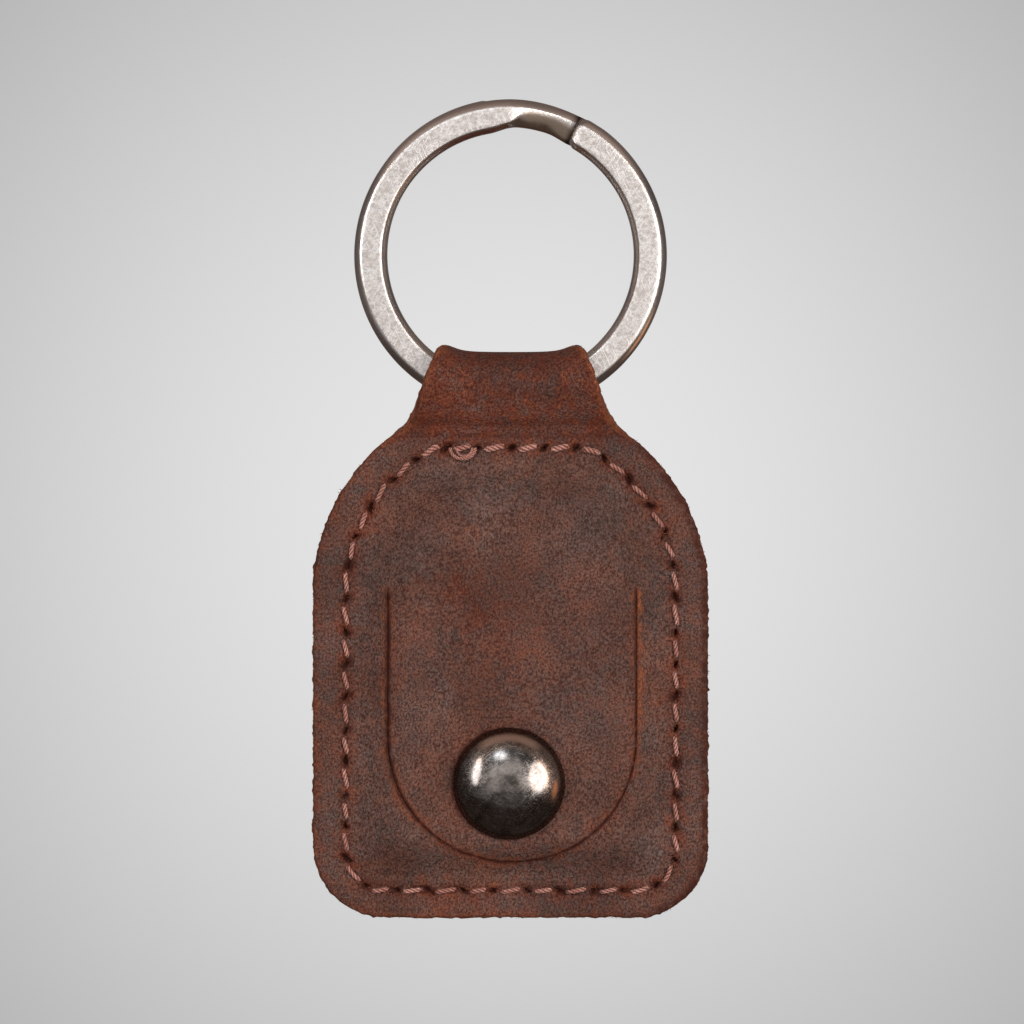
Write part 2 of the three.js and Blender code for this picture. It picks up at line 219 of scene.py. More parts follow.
EDGE_FIBRE_MORE = 0.2
EDGE_FIBRE_RARE = 16
EDGE_FIBRE_LIFT = 0.5
EDGE_FIBRE_STRAY = 0.8
NECK_FIBRE_FRONT = 0.7
NECK_FIBRE_DEEP = (0.1, 0.85)
NECK_FIBRE_OUT = (0.3, 1.2)
NECK_FIBRE_STRAY = 0.5
NECK_FIBRE_LIFT = (0.1, 0.6)
NECK_FIBRE_LONG = (0.06, 0.18)
HOLE_FIBRE_AT = (0.2, 0.62)
HOLE_FIBRE_UP = (0.15, 0.5)
HOLE_FIBRE_STRAY = 0.7
HOLE_FIBRE_LONG = (0.15, 0.45)
CUT_FIBRE_AT = (0.03, 0.3)
CUT_FIBRE_UP = (0.1, 0.5)
CUT_FIBRE_ROOT = 0.08
CUT_FIBRE_LONG = (0.12, 0.4)
CUT_FIBRE_TOP = 1.0
SCUFF_FROM = (-5.3, -42.9)
SCUFF_TO = (-2.4, -46.6)
THUMB_Z = -48.0
THUMB_WIDE = 11.0
THUMB_TALL = 8.0

# Marks on the hide: how strong each is, how far it reaches, and the power of its fall
FAR_OFF = 9.0
EDGE_WEAR = (0.8, 0.6, 1)
EDGE_HAZE = (0.16, 1.8, 1)
EDGE_DARK = (0.36, 0.26)
EDGE_RAW = (0.32, 0.26)
SEAM_WEAR = (0.25, 0.9)
HOLE_PIT = (1.0, 1.0, 4)
HOLE_STAIN = (0.42, 2.0)
HOLE_WEAR = (0.7, 3.5)
SCUFF = (1.0, 0.3)
SCUFF_DEEP = 0.05
SCUFF_WEAR = 0.5
SCUFF_HAZE = (0.4, 2.4)
THUMB_WEAR = (0.34, 1.0)
RIGHT_EDGE_DARK = (0.6, 0.85, 4)
RIGHT_EDGE_FROM = (6.0, 9.0)
FOLD_FROM = (-0.3, 2.2)
FOLD_WEAR = 0.88
FOLD_PIT = 0.4
FOLD_RAW = (0.36, 0.42)
CROWN_FROM = (0.2, 1.0)
CROWN_RAW = (0.62, 0.8)
LOOP_PULL_LIGHT = (0.15, 0.75)
FLARE_PULL_LIGHT = (0.1, 0.75)
CUT_EARLY = -0.3
CUT_LEFT = (5.0, 6.0)
CUT_WEAR = (0.8, 0.35, 1)
CUT_HAZE = (0.2, 1.1, 1)
CUT_SHADE = (0.62, 0.22)
CUT_SHADE_LEFT = (0.14, 0.1)
CUT_LIP = 0.34
CUT_LIT = (0.95, 0.19)
CUT_LIT_FROM = (-5.0, 6.0)
CUT_DULL = (0.16, 0.22)
CUT_DULL_LEFT = 0.42
DIMPLE = (0.14, 0.8)
DIMPLE_WEAR = (0.25, 1.4)
CAP_SHADOW = (0.42, 0.34)
CAP_SHADOW_SIDE = 0.14

# Press stud, turned on an axis along Y
SNAP_X = -0.15
SNAP_DROP = 17.96
SEAT = 0.05
CAP_R = 5.35
CAP_RISE = 2.6
CAP_RIM = 0.46
CAP_ROLL = 0.08
CAP_STEP = 0.26
SHEET = 0.35
CAP_LIP_R = 3.9
CAP_FULL = 0.75
POST_R = 1.6
SOCKET_R = 4.7
SOCKET_FLOOR = 0.45
HEAD_R = 2.1
HEAD_CLEAR = 0.55
NECK_R = 1.7
SPRING_WIRE_R = 0.34
SPRING_CLEAR = 0.32
STUD_FLANGE_R = 4.5
STUD_FLANGE_T = 0.55
STUD_TIP = -1.0
SOCKET_MOUTH = 1.15
RIVET_R = 1.05
RIVET_HEAD_R = 4.75
RIVET_HEAD_T = 0.8
LOOSE = 0.3
SPRING_HALF_TURN = 155.0
SPRING_END_ROUND = 0.15
SPRING_SPARE = 0.1
MOUTH_LIP = 0.25
TURN_STEPS = 112

# Places that follow from the sizes
RING_IN_R = RING_OUT_R - RING_WIRE_W
RING_Z = -RING_IN_R
LOOP_DROP = RING_IN_R + LOOP_SAG
LOOP_R = RING_WIRE_W + LOOP_SLACK
LOOP_Z = RING_Z - LOOP_DROP
DOME_Z = LOOP_Z - DOME_UNDER - BODY_HALF
BOTTOM_Z = DOME_Z - BODY_STRAIGHT
STITCH_HALF = BODY_HALF - STITCH_INSET
STITCH_CORNER = CORNER_R - STITCH_INSET
STITCH_BOTTOM_Z = BOTTOM_Z + STITCH_INSET
SEAM_FOOT_Z = BOTTOM_Z + FOOT_INSET
STITCH_TOP = STITCH_HALF - SEAM_SAG
STITCH_TOP_Z = DOME_Z + STITCH_TOP
HINGE_Z = DOME_Z + FLAP_HINGE
ARC_Z = DOME_Z - FLAP_ARC
CUT_OUT = FLAP_HALF + CUT_HALF
CUT_IN = FLAP_HALF - CUT_HALF
SNAP_Z = DOME_Z - SNAP_DROP
FRONT_IN = -POCKET_HALF
FRONT_OUT = FRONT_IN - LEATHER_T
BACK_IN = POCKET_HALF
BACK_OUT = BACK_IN + LEATHER_T
FLARE_Y = SLIT_HALF + FLARE_R
FLARE_RUN = LOOP_R + FLARE_R
FLARE_Z = LOOP_Z - math.sqrt(FLARE_RUN**2 - FLARE_Y**2)
FLARE_TURN = math.acos(FLARE_Y / FLARE_RUN)

PANEL, FLARE, LOOP = 0, 1, 2


# Sewing grids of points into meshes

def sew(name, patches, body, nodes, material, marks=(), crease=38.0):
    """One closed skin from grids of points. Each patch is (points, marks): neighbours in its grid
    become quads, also in a stack of grids, points that fall together become one, and a quad that
    loses a side becomes a triangle. Faces are turned outwards, and edges sharper than crease
    degrees stay crisp."""
    grids = [np.asarray(p, float) for p, _ in patches]
    points = np.concatenate([g.reshape(-1, 3) for g in grids])
    quads, base = [], 0
    for g in grids:
        i = base + np.arange(g.size // 3).reshape(g.shape[:-1])
        corners = [i[..., :-1, :-1], i[..., :-1, 1:], i[..., 1:, 1:], i[..., 1:, :-1]]
        quads.append(np.stack(corners, -1).reshape(-1, 4))
        base += i.size
    quads = np.concatenate(quads)
    keys = np.round(points / SAME_POINT).astype(np.int64)
    _, first, back = np.unique(keys, axis=0, return_index=True, return_inverse=True)
    quads = back.reshape(-1)[quads]
    same = quads == np.roll(quads, -1, axis=1)
    crossed = (quads[:, 0] == quads[:, 2]) | (quads[:, 1] == quads[:, 3])
    whole = quads[(same.sum(1) == 0) & ~crossed]
    lost = (same.sum(1) == 1) & ~crossed
    corner = (same[lost].argmax(1)[:, None] + np.arange(1, 4)) % 4
    thirds = np.take_along_axis(quads[lost], corner, 1)
    mesh = bpy.data.meshes.new(name)
    mesh.from_pydata((points[first] * MM).tolist(), [], whole.tolist() + thirds.tolist())
    mesh.validate()
    if marks:
        count = len(marks)
        values = [np.broadcast_to(m, g.shape[:-1] + (count,)).reshape(-1, count)
                  for g, (_, m) in zip(grids, patches)]
        values = np.concatenate(values)[first]
        for k, mark in enumerate(marks):
            layer = mesh.attributes.new(mark, "FLOAT", "POINT")
            layer.data.foreach_set("value", values[:, k].astype(np.float32))
    bm = bmesh.new()
    bm.from_mesh(mesh)
    bmesh.ops.recalc_face_normals(bm, faces=bm.faces)
    if bm.calc_volume(signed=True) < 0:
        bmesh.ops.reverse_faces(bm, faces=bm.faces)
    bm.to_mesh(mesh)
    bm.free()
    mesh.polygons.foreach_set("use_smooth", np.ones(len(mesh.polygons), bool))
    mesh.set_sharp_from_angle(angle=math.radians(crease))
    mesh.materials.append(material)
    piece = bpy.data.objects.new(name, mesh)
    bpy.context.scene.collection.objects.link(piece)
    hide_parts(*nodes)
    if isinstance(body, str):
        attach(piece, body)
    return piece


def unit(v):
    """Vectors brought to length one."""
    return v / np.linalg.norm(v, axis=-1, keepdims=True)


def smooth(d, start, width):
    """Smooth step: 0 until start, 1 after start + width, 3t^2 - 2t^3 between."""
    t = np.clip((d - start) / width, 0, 1)
    return t * t * (3 - 2 * t)


def bell(away, amount, reach, power=2):
    """A mark that is strongest at 0 and fades with distance: amount times e^-(away / reach)^power,
    where 2 is the power of a bell curve."""
    return amount * np.exp(-((np.abs(away) / reach) ** power))


def capped(rings, middles):
    """Rings of a tube, closed by the middle points of its first and its last ring."""
    first, last = (np.broadcast_to(middles[k], rings[0].shape)[None] for k in (0, -1))
    return np.concatenate([first, rings, last])


def held(values):
    """Values of a tube's rings with the first and the last repeated, for its closed ends."""
    return np.concatenate([values[:1], values, values[-1:]])


# Outline of the pouch and its rooms

def outline_half(z):
    """Half width at a height: the larger of the dome's circle and the flaring neck, blended, and
    never more than the straight side or the rounded bottom corner."""
    up = np.maximum(0, z - DOME_Z)
    dome = np.sqrt(np.maximum(0, BODY_HALF**2 - up**2))
    neck = np.minimum(NECK_MOST, NECK_HALF + NECK_FLARE * (LOOP_Z + NECK_RISE - z))
    upper = (dome + neck + np.hypot(dome - neck, NECK_BLEND)) / 2
    down = np.clip(BOTTOM_Z + CORNER_R - z, 0, CORNER_R)
    corner = BODY_HALF - CORNER_R + np.sqrt(CORNER_R**2 - down**2)
    return np.minimum(np.minimum(upper, BODY_HALF), corner)


def pouch_room(x, z):
    """Distance in from the pouch's edge: from a rounded box below the dome's middle, and from the
    dome's circle above it."""
    qx = np.abs(x) - (BODY_HALF - CORNER_R)
    qz = BOTTOM_Z + CORNER_R - z
    box = CORNER_R - np.hypot(np.maximum(qx, 0), np.maximum(qz, 0))
    box = box - np.minimum(np.maximum(qx, qz), 0)
    return np.where(z > DOME_Z, BODY_HALF - np.hypot(x, z - DOME_Z), box)


def edge_room(x, z):
    """Distance in from the cut edge of a panel, with the neck's own sides above the shoulders."""
    slope = (outline_half(z + SLOPE_STEP) - outline_half(z - SLOPE_STEP)) / (2 * SLOPE_STEP)
    neck = (outline_half(z) - np.abs(x)) / np.hypot(1, slope)
    return np.maximum(0, np.where(z > DOME_Z + BODY_HALF / 2, neck, pouch_room(x, z)))


def tongue_room(x, z, half):
    """Distance in from the outline of the tongue: straight sides that end in a half circle."""
    return half - np.where(z > ARC_Z, np.abs(x - FLAP_X), np.hypot(x - FLAP_X, z - ARC_Z))


def tongue_half(z, half):
    """Half width of the tongue at a height."""
    return np.sqrt(np.maximum(0, half**2 - np.minimum(0, z - ARC_Z) ** 2))


def gap_half(x, z):
    """Half the gap between the panels: a slit at the seam that rises smoothly to the pocket."""
    side = STITCH_HALF - np.hypot(x, np.maximum(0, z - DOME_Z))
    low = smooth(z - STITCH_BOTTOM_Z, RAMP_START, RAMP_END)
    high = smooth(STITCH_TOP_Z - z, RAMP_START, RAMP_SIDE)
    return SLIT_HALF + (POCKET_HALF - SLIT_HALF) * smooth(side, RAMP_START, RAMP_SIDE) * low * high


def sway(x, z):
    """Soft unevenness of the hide, the sum of three slow waves, held off the seam."""
    waves = (np.sin(x / 3.1 + 0.7) * np.sin(z / 4.3 + 1.9) + 0.6 * np.sin(x / 1.7 + z / 2.3)
             + 0.5 * np.sin(x / 2.6 - z / 1.5 + 2.0))
    return SWAY * waves * smooth(pouch_room(x, z), STITCH_INSET, SWAY_EASE)


def rounding(room, radius, full=2.0):
    """How far a rounded edge falls at a distance in from it: a quarter of the curve
    u^full + v^full = 1, which is a circle at 2 and nearer to a bevel below that."""
    radius = np.maximum(radius, TINY)
    inward = np.clip(1 - room / radius, 0, 1)
    return radius * (1 - (1 - inward**full) ** (1 / full))


def fray(run, seed):
    """Roughness of a cut edge along its run: random knots every fifth of a millimetre, and tufts of
    fibre that stand out as small bell curves."""
    rng = np.random.default_rng(seed)
    at = np.mod(run, FRAY_SPAN)
    knots = rng.normal(0, FRAY, FRAY_KNOTS)
    rough = np.interp(at, np.linspace(0, FRAY_SPAN, FRAY_KNOTS), knots)
    spot = rng.uniform(0, FRAY_SPAN, TUFTS)
    tall = rng.uniform(*TUFT_TALL, TUFTS) * rng.uniform(*TUFT_SHARE, TUFTS)
    broad = rng.uniform(*TUFT_BROAD, TUFTS)
    return rough + bell(at[..., None] - spot, tall, broad).sum(-1)


# Seam line and its needle holes

SEAM_TOP_POINTS = 40
SEAM_DOME_POINTS = 90
SEAM_SIDE_POINTS = 60
SEAM_STEP = 0.1


def seam_line():
    """Corners and arcs of the seam as a dense closed line: x, z and the length run at each
    point."""
    turn = math.asin(STITCH_TOP / STITCH_HALF)
    reach = STITCH_HALF * math.cos(turn)
    low_x, low_z = STITCH_HALF - STITCH_CORNER, SEAM_FOOT_Z + STITCH_CORNER
    dome = np.linspace(turn, 0, SEAM_DOME_POINTS)
    corner = np.linspace(0, -math.pi / 2, SEAM_SIDE_POINTS)
    x = np.concatenate([np.linspace(0, reach, SEAM_TOP_POINTS), STITCH_HALF * np.cos(dome),
                        np.full(SEAM_SIDE_POINTS, STITCH_HALF),
                        low_x + STITCH_CORNER * np.cos(corner),
                        np.linspace(low_x, 0, SEAM_SIDE_POINTS)])
    z = np.concatenate([np.full(SEAM_TOP_POINTS, STITCH_TOP_Z),
                        DOME_Z + STITCH_HALF * np.sin(dome),
                        np.linspace(DOME_Z, low_z, SEAM_SIDE_POINTS),
                        low_z + STITCH_CORNER * np.sin(corner),
                        np.full(SEAM_SIDE_POINTS, SEAM_FOOT_Z)])
    x, z = np.concatenate([x, -x[::-1]]), np.concatenate([z, z[::-1]])
    run = np.concatenate([[0], np.cumsum(np.hypot(np.diff(x), np.diff(z)))])
    keep = np.concatenate([[True], np.diff(run) > TINY])
    return x[keep], z[keep], run[keep]


SEAM_X, SEAM_Z, SEAM_RUN = seam_line()
SEAM_LENGTH = SEAM_RUN[-1]
PITCH = SEAM_LENGTH / STITCHES
HOLE_RUN = np.random.default_rng(HOLE_RUN_SEED).uniform(-HOLE_WANDER, HOLE_WANDER, STITCHES)
HOLE_RUN = PITCH * np.arange(STITCHES) + HOLE_RUN


def seam_at(run):
    """Place on the seam and its direction at a length run along it."""
    def spot(r):
        r = np.mod(r, SEAM_LENGTH)
        return np.stack([np.interp(r, SEAM_RUN, SEAM_X), np.interp(r, SEAM_RUN, SEAM_Z)], -1)
    return spot(run), unit(spot(run + SEAM_STEP) - spot(run - SEAM_STEP))


HOLE_AT, HOLE_ALONG = seam_at(HOLE_RUN)
HOLE_SIZE = np.random.default_rng(HOLE_SIZE_SEED).uniform(*HOLE_SIZES, STITCHES)
HOLE_SKEW = np.random.default_rng(HOLE_SKEW_SEED).uniform(-HOLE_LEAN, HOLE_LEAN, STITCHES)


def needle_ovals(x, z):
    """Distance from the nearest needle hole in half lengths of its oval: 0 in its middle, 1 on its
    rim."""
    dx, dz = x[..., None] - HOLE_AT[:, 0], z[..., None] - HOLE_AT[:, 1]
    along = dx * HOLE_ALONG[:, 0] + dz * HOLE_ALONG[:, 1]
    across = dx * HOLE_ALONG[:, 1] - dz * HOLE_ALONG[:, 0] + HOLE_SKEW * along
    return (np.hypot(along / HOLE_LONG, across / HOLE_WIDE) / HOLE_SIZE).min(-1)


def seam_away(x, z):
    """Distance to the seam line, which runs nearer to the edge along the foot."""
    raised = z + (STITCH_INSET - FOOT_INSET) * smooth(DOME_Z - z, *FOOT_EASE)
    return np.abs(np.minimum(pouch_room(x, raised) - STITCH_INSET, STITCH_TOP_Z - z))


def scuff_away(x, z):
    """Distance to the short scuff across the flap's hinge."""
    (ax, az), (bx, bz) = SCUFF_FROM, SCUFF_TO
    dx, dz = bx - ax, bz - az
    t = np.clip(((x - ax) * dx + (z - az) * dz) / (dx**2 + dz**2), 0, 1)
    return np.hypot(x - ax - t * dx, z - az - t * dz)


# Strip of leather: where a point lies, how thick it is there, and its marks

def place(kind, at, side, x, out):
    """Point of the strip. A row is a panel row at a height, a row of the flare at a turn of its
    arc, or a row of the loop at a turn of its oval; x runs across, out is the height over the
    inner face, and side is -1 for the front and 1 for the back."""
    panel_y = gap_half(x, at) + out
    reach = FLARE_R - out
    ride = LOOP_DROP - np.sqrt(np.maximum(0, RING_IN_R**2 - x**2)) + LOOP_CLEAR
    top = (LOOP_TOP + ride + np.hypot(LOOP_TOP - ride, LOOP_BLEND)) / 2
    tall = np.where(at > 0, top, LOOP_R)
    wide = LOOP_R + LOOP_WIDEN * smooth(at, -FLARE_TURN, FLARE_TURN) * (x / NECK_HALF) ** 2
    y = np.select([kind == PANEL, kind == FLARE],
                  [panel_y, FLARE_Y - reach * np.cos(at)], (wide + out) * np.cos(at))
    z = np.select([kind == PANEL, kind == FLARE],
                  [at + 0 * x, FLARE_Z + reach * np.sin(at)], LOOP_Z + (tall + out) * np.sin(at))
    return np.stack([x + 0 * y, side * y, z], -1)


def inner_low(kind, at, x):
    """Height of the inner face: 0, but lower at the seam, where the panels are pressed together."""
    shut = (1 - smooth(gap_half(x, at), SLIT_HALF, SLIT_EASE)) * smooth(FLARE_Z - at, *SLIT_SHUT)
    return np.where(kind == PANEL, (SLIT_SEEN - SLIT_HALF) * shut, 0.0)


def row_half(kind, at):
    """Half width of each row, from the outline at the height of its higher face, and rounded off
    towards the crown of the loop."""
    wide = np.full_like(at, NECK_HALF, dtype=float)
    faces = (place(kind, at, 1, wide, np.full_like(wide, t))[..., 2] for t in (0, LEATHER_T))
    high = np.where(kind == PANEL, at, np.maximum(*faces))
    crown = np.maximum(0, at / (math.pi / 2) - NECK_ROUND_FROM) / (1 - NECK_ROUND_FROM)
    return outline_half(high) - NECK_ROUND * np.where(kind == LOOP, crown, 0) ** 2


def skin_height(kind, at, side, x, half, cut=None, on_flap=False):
    """Height of the outer face over the inner one, and its marks: wear, raw cut with a painted lit
    band beside the tongue's cut, flesh, painted shade with stains, and the pale pull where it is
    bent, which is partly painted light.
    Full thickness, less the rounded edge, the needle holes, the groove under the thread, and the
    rounded cut of the tongue where there is one."""
    panel = kind == PANEL
    shown = panel & (side < 0)
    z = at + 0 * x
    room = np.where(panel, edge_room(x, z), np.maximum(0, half - np.abs(x)))
    oval = np.where(panel, needle_ovals(x, z), FAR_OFF)
    away = np.where(panel, seam_away(x, z), FAR_OFF)
    rubbed = np.where(shown, scuff_away(x, z), FAR_OFF)
    scuff = bell(rubbed, *SCUFF)
    out = LEATHER_T + np.where(panel, sway(x, z), 0) - rounding(room, EDGE_ROUND)
    out = out - HOLE_DEEP * bell(oval, *HOLE_PIT) - SCUFF_DEEP * scuff
    out = out - bell(away, GROOVE_DEEP, GROOVE_WIDE)
    fold = np.where(panel, smooth(at, STITCH_TOP_Z + FOLD_FROM[0], FOLD_FROM[1]), 1.0)
    wear = bell(room, *EDGE_WEAR) + bell(room, *EDGE_HAZE) + bell(away, *SEAM_WEAR)
    wear = wear + FOLD_WEAR * fold + SCUFF_WEAR * scuff
    wear = wear + bell(oval, *HOLE_WEAR) + bell(rubbed, *SCUFF_HAZE)
    thumbed = np.hypot(x / THUMB_WIDE, (z - THUMB_Z) / THUMB_TALL)
    wear = wear + np.where(shown, bell(thumbed, *THUMB_WEAR), 0)
    crown = np.where(kind == LOOP, smooth(at, *CROWN_FROM), 0)
    # Paler at the waist where the strip bends round the ring: the lightening of pulled-up leather,
    # and painted light on the downward-facing part, which lies in shade.
    pull_and_light = np.select([kind == LOOP, kind == FLARE],
                       [smooth(-at, *LOOP_PULL_LIGHT), smooth(at, *FLARE_PULL_LIGHT)], 0.0)
    right_edge = np.where(shown, smooth(x, *RIGHT_EDGE_FROM), 0)
    # Painted shade in the needle holes, and real stains round them.
    shades_and_stains = np.maximum(bell(oval, *HOLE_PIT), bell(oval, *HOLE_STAIN))
    # Darker at the cut edge all round, and darker again along the right edge of the front panel.
    shades_and_stains = np.maximum(shades_and_stains, bell(room, *EDGE_DARK))
    shades_and_stains = np.maximum(shades_and_stains, right_edge * bell(room, *RIGHT_EDGE_DARK))
    shades_and_stains = np.maximum(shades_and_stains, FOLD_PIT * fold * (1 - pull_and_light) * ((side < 0) & (kind != LOOP)))
    raw = bell(room, *EDGE_RAW) + crown * bell(room, *CROWN_RAW) + fold * bell(room, *FOLD_RAW)
    if cut is not None:
        near, below = np.maximum(0, cut), smooth(HINGE_Z - at, CUT_EARLY, CUT_FADE)
        left = smooth(-x, *CUT_LEFT)
        radius = CUT_ROUND_RIGHT + (CUT_ROUND_LEFT - CUT_ROUND_RIGHT) * left
        out = out - rounding(near, radius * smooth(HINGE_Z - at, 0, CUT_FADE))
        wear = wear + (bell(near, *CUT_WEAR) + bell(near, *CUT_HAZE)) * below
        # Painted shade in the tongue's cut, wider and darker on its left side.
        dark, wide = (right + more * left for right, more in zip(CUT_SHADE, CUT_SHADE_LEFT))
        shades_and_stains = np.maximum(shades_and_stains, bell(near, dark, wide, 4) * below)
        # Painted light: an orange lit band, in the raw colour, beside the cut on the panel right of
        # the tongue.
        lit = bell(near - CUT_LIP, *CUT_LIT) * smooth(at, ARC_Z + CUT_LIT_FROM[0], CUT_LIT_FROM[1])
        pale = CUT_DULL[0] + (0.0 if on_flap else CUT_DULL_LEFT) * left
        dull = bell(near - CUT_LIP, pale, CUT_DULL[1])
        raw = raw + np.where((x < 0) | on_flap, dull, lit) * below
    none = 0 * wear
    return out, np.stack([wear, raw + none, none, shades_and_stains + none, pull_and_light + none], -1)


RAW = np.array([1.0, 1.0, 0.0, 0.0, 0.0])
FLESH = np.array([0.3, 0.0, 1.0, 0.0, 0.0])
MARKS = ("wear", "raw", "flesh", "shade_and_stain", "pull_and_light")
EDGE_STEPS = np.array([0, 0.03, 0.09, 0.18, 0.3, 0.45])
CUT_STEPS = np.array([0, 0.05, 0.12, 0.25])
WALL_STEPS = np.linspace(1, 0, 5)
CORNER_COLUMNS = np.array([1.7, 1.0, 0.5, 0.22, 0, -0.22, -0.5, -1.0, -1.6, -2.3, -3.1])
HOLE_COLUMNS = np.array([-0.7, -0.32, 0, 0.32, 0.7])
TONGUE_COLUMNS = 80
INNER_EVERY = 4
UP_ROWS, FLARE_ROWS, LOOP_ROWS = 66, 10, 26
BACK_ROWS, FOOT_ROWS = 132, 44
SIDE_ROWS, TIP_ROWS = 68, 72
TIP_STEPS = np.array([0, 0.02, 0.06, 0.12, 0.2, 0.32])
TIP_CLEAR = 0.05
NECK_RUN, NECK_RUN_TURN = 40.0, 6.0


def band_shares(sign):
    """Shares of a band's width at which its columns run: some round the side's seam, and some round
    each needle hole of the foot's row, so that the holes come out crisp."""
    row = HOLE_AT[np.abs(HOLE_AT[:, 1] - SEAM_FOOT_Z) < SAME_POINT, 0]
    edge, tip = sign * (BODY_HALF - EDGE_STEPS[-1]), FLAP_X + sign * CUT_STEPS[-1]
    holes = (row[row * sign > 0][:, None] + HOLE_COLUMNS).ravel()
    corner = sign * (STITCH_HALF + CORNER_COLUMNS)
    x = np.sort(np.concatenate([corner, holes]))
    return (x - min(edge, tip)) / abs(edge - tip)


def band_columns(sign, edge, cut):
    """Places across the band left or right of the tongue, from left to right: fixed steps in from
    the pouch's edge and from the cut, and shares of the way between them."""
    (left, from_left), (right, from_right) = [(edge, EDGE_STEPS), (cut, CUT_STEPS)][::-sign]
    a, b = left + from_left[-1], right - from_right[-1]
    between = a + (b - a) * band_shares(sign)
    return np.concatenate([left + from_left, between, right - from_right[::-1]], -1)


def spread(first, left, right):
    """Columns of rows whose width changes: fixed steps in from both edges, and between them the
    shares that the columns of the first row have."""
    steps = len(EDGE_STEPS)
    a, b = first[:, steps - 1:steps], first[:, -steps:first.shape[1] - steps + 1]
    share = (first - a) / (b - a)
    start, stop = left + EDGE_STEPS[-1], right - EDGE_STEPS[-1]
    x = start + (stop - start) * share
    x[:, :steps], x[:, -steps:] = left + EDGE_STEPS, right - EDGE_STEPS[::-1]
    return x


def cut_rows(half):
    """Heights of the rows along the tongue's cut: even ones down its straight sides, then even
    turns of its half circle."""
    straight = np.linspace(HINGE_Z, ARC_Z, SIDE_ROWS)
    arc = ARC_Z - half * np.sin(np.linspace(0, math.pi / 2, TIP_ROWS))[1:]
    return np.concatenate([straight, arc])[:, None]


def thin(count, keep=()):
    """Columns of the inner face: every few of the outer ones, with those that have to stay."""
    columns = np.concatenate([np.arange(0, count, INNER_EVERY), [0, count - 1], keep])
    return np.unique(columns.astype(int))


def nearest_kept(count, kept):
    """For each outer column the inner column that it is joined to at an end wall."""
    return kept[np.searchsorted((kept[1:] + kept[:-1]) / 2, np.arange(count))]


def ragged_foot(points):
    """The frayed bottom edge of both panels: points near it move down by the fray at their x."""
    points = np.array(points)
    x, y, z = points[..., 0], points[..., 1], points[..., 2]
    run = x + FRAY_SPAN / 2
    frayed = np.where(y < 0, *(fray(run, seed) for seed in FRAY_FOOT_SEEDS))
    low = (1 - smooth(z, BOTTOM_Z, FRAY_FOOT)) * (z < BOTTOM_Z + FRAY_FOOT)
    points[..., 2] = z - frayed * low
    return points


def wall(kind, at, side, x, high, rough):
    """Raw edge between the outer and the inner face at one side of a band, with its fibres."""
    out = high[:, None] * WALL_STEPS + inner_low(kind, at, x[:, None]) * (1 - WALL_STEPS)
    along, down = WALL_WAVES
    lump = WALL_LUMP * np.sin(at * along + WALL_STEPS * down) * np.sin(math.pi * WALL_STEPS)
    return place(kind, at, side, x[:, None] + rough * lump, out), RAW


def band_faces(kind, at, side, x, kept, rough, cut=None):
    """Outer face, inner face in its kept columns, and the walls at both sides of one band, after
    its two faces as whole grids."""
    out, marks = skin_height(kind, at, side, x, row_half(kind, at), cut)
    outer, inner = place(kind, at, side, x, out), place(kind, at, side, x, inner_low(kind, at, x))
    walls = [wall(kind, at, side, x[:, k], out[:, k], r) for k, r in zip((0, -1), rough)]
    return outer, inner, [(outer, marks), (inner[:, kept], FLESH), *walls]


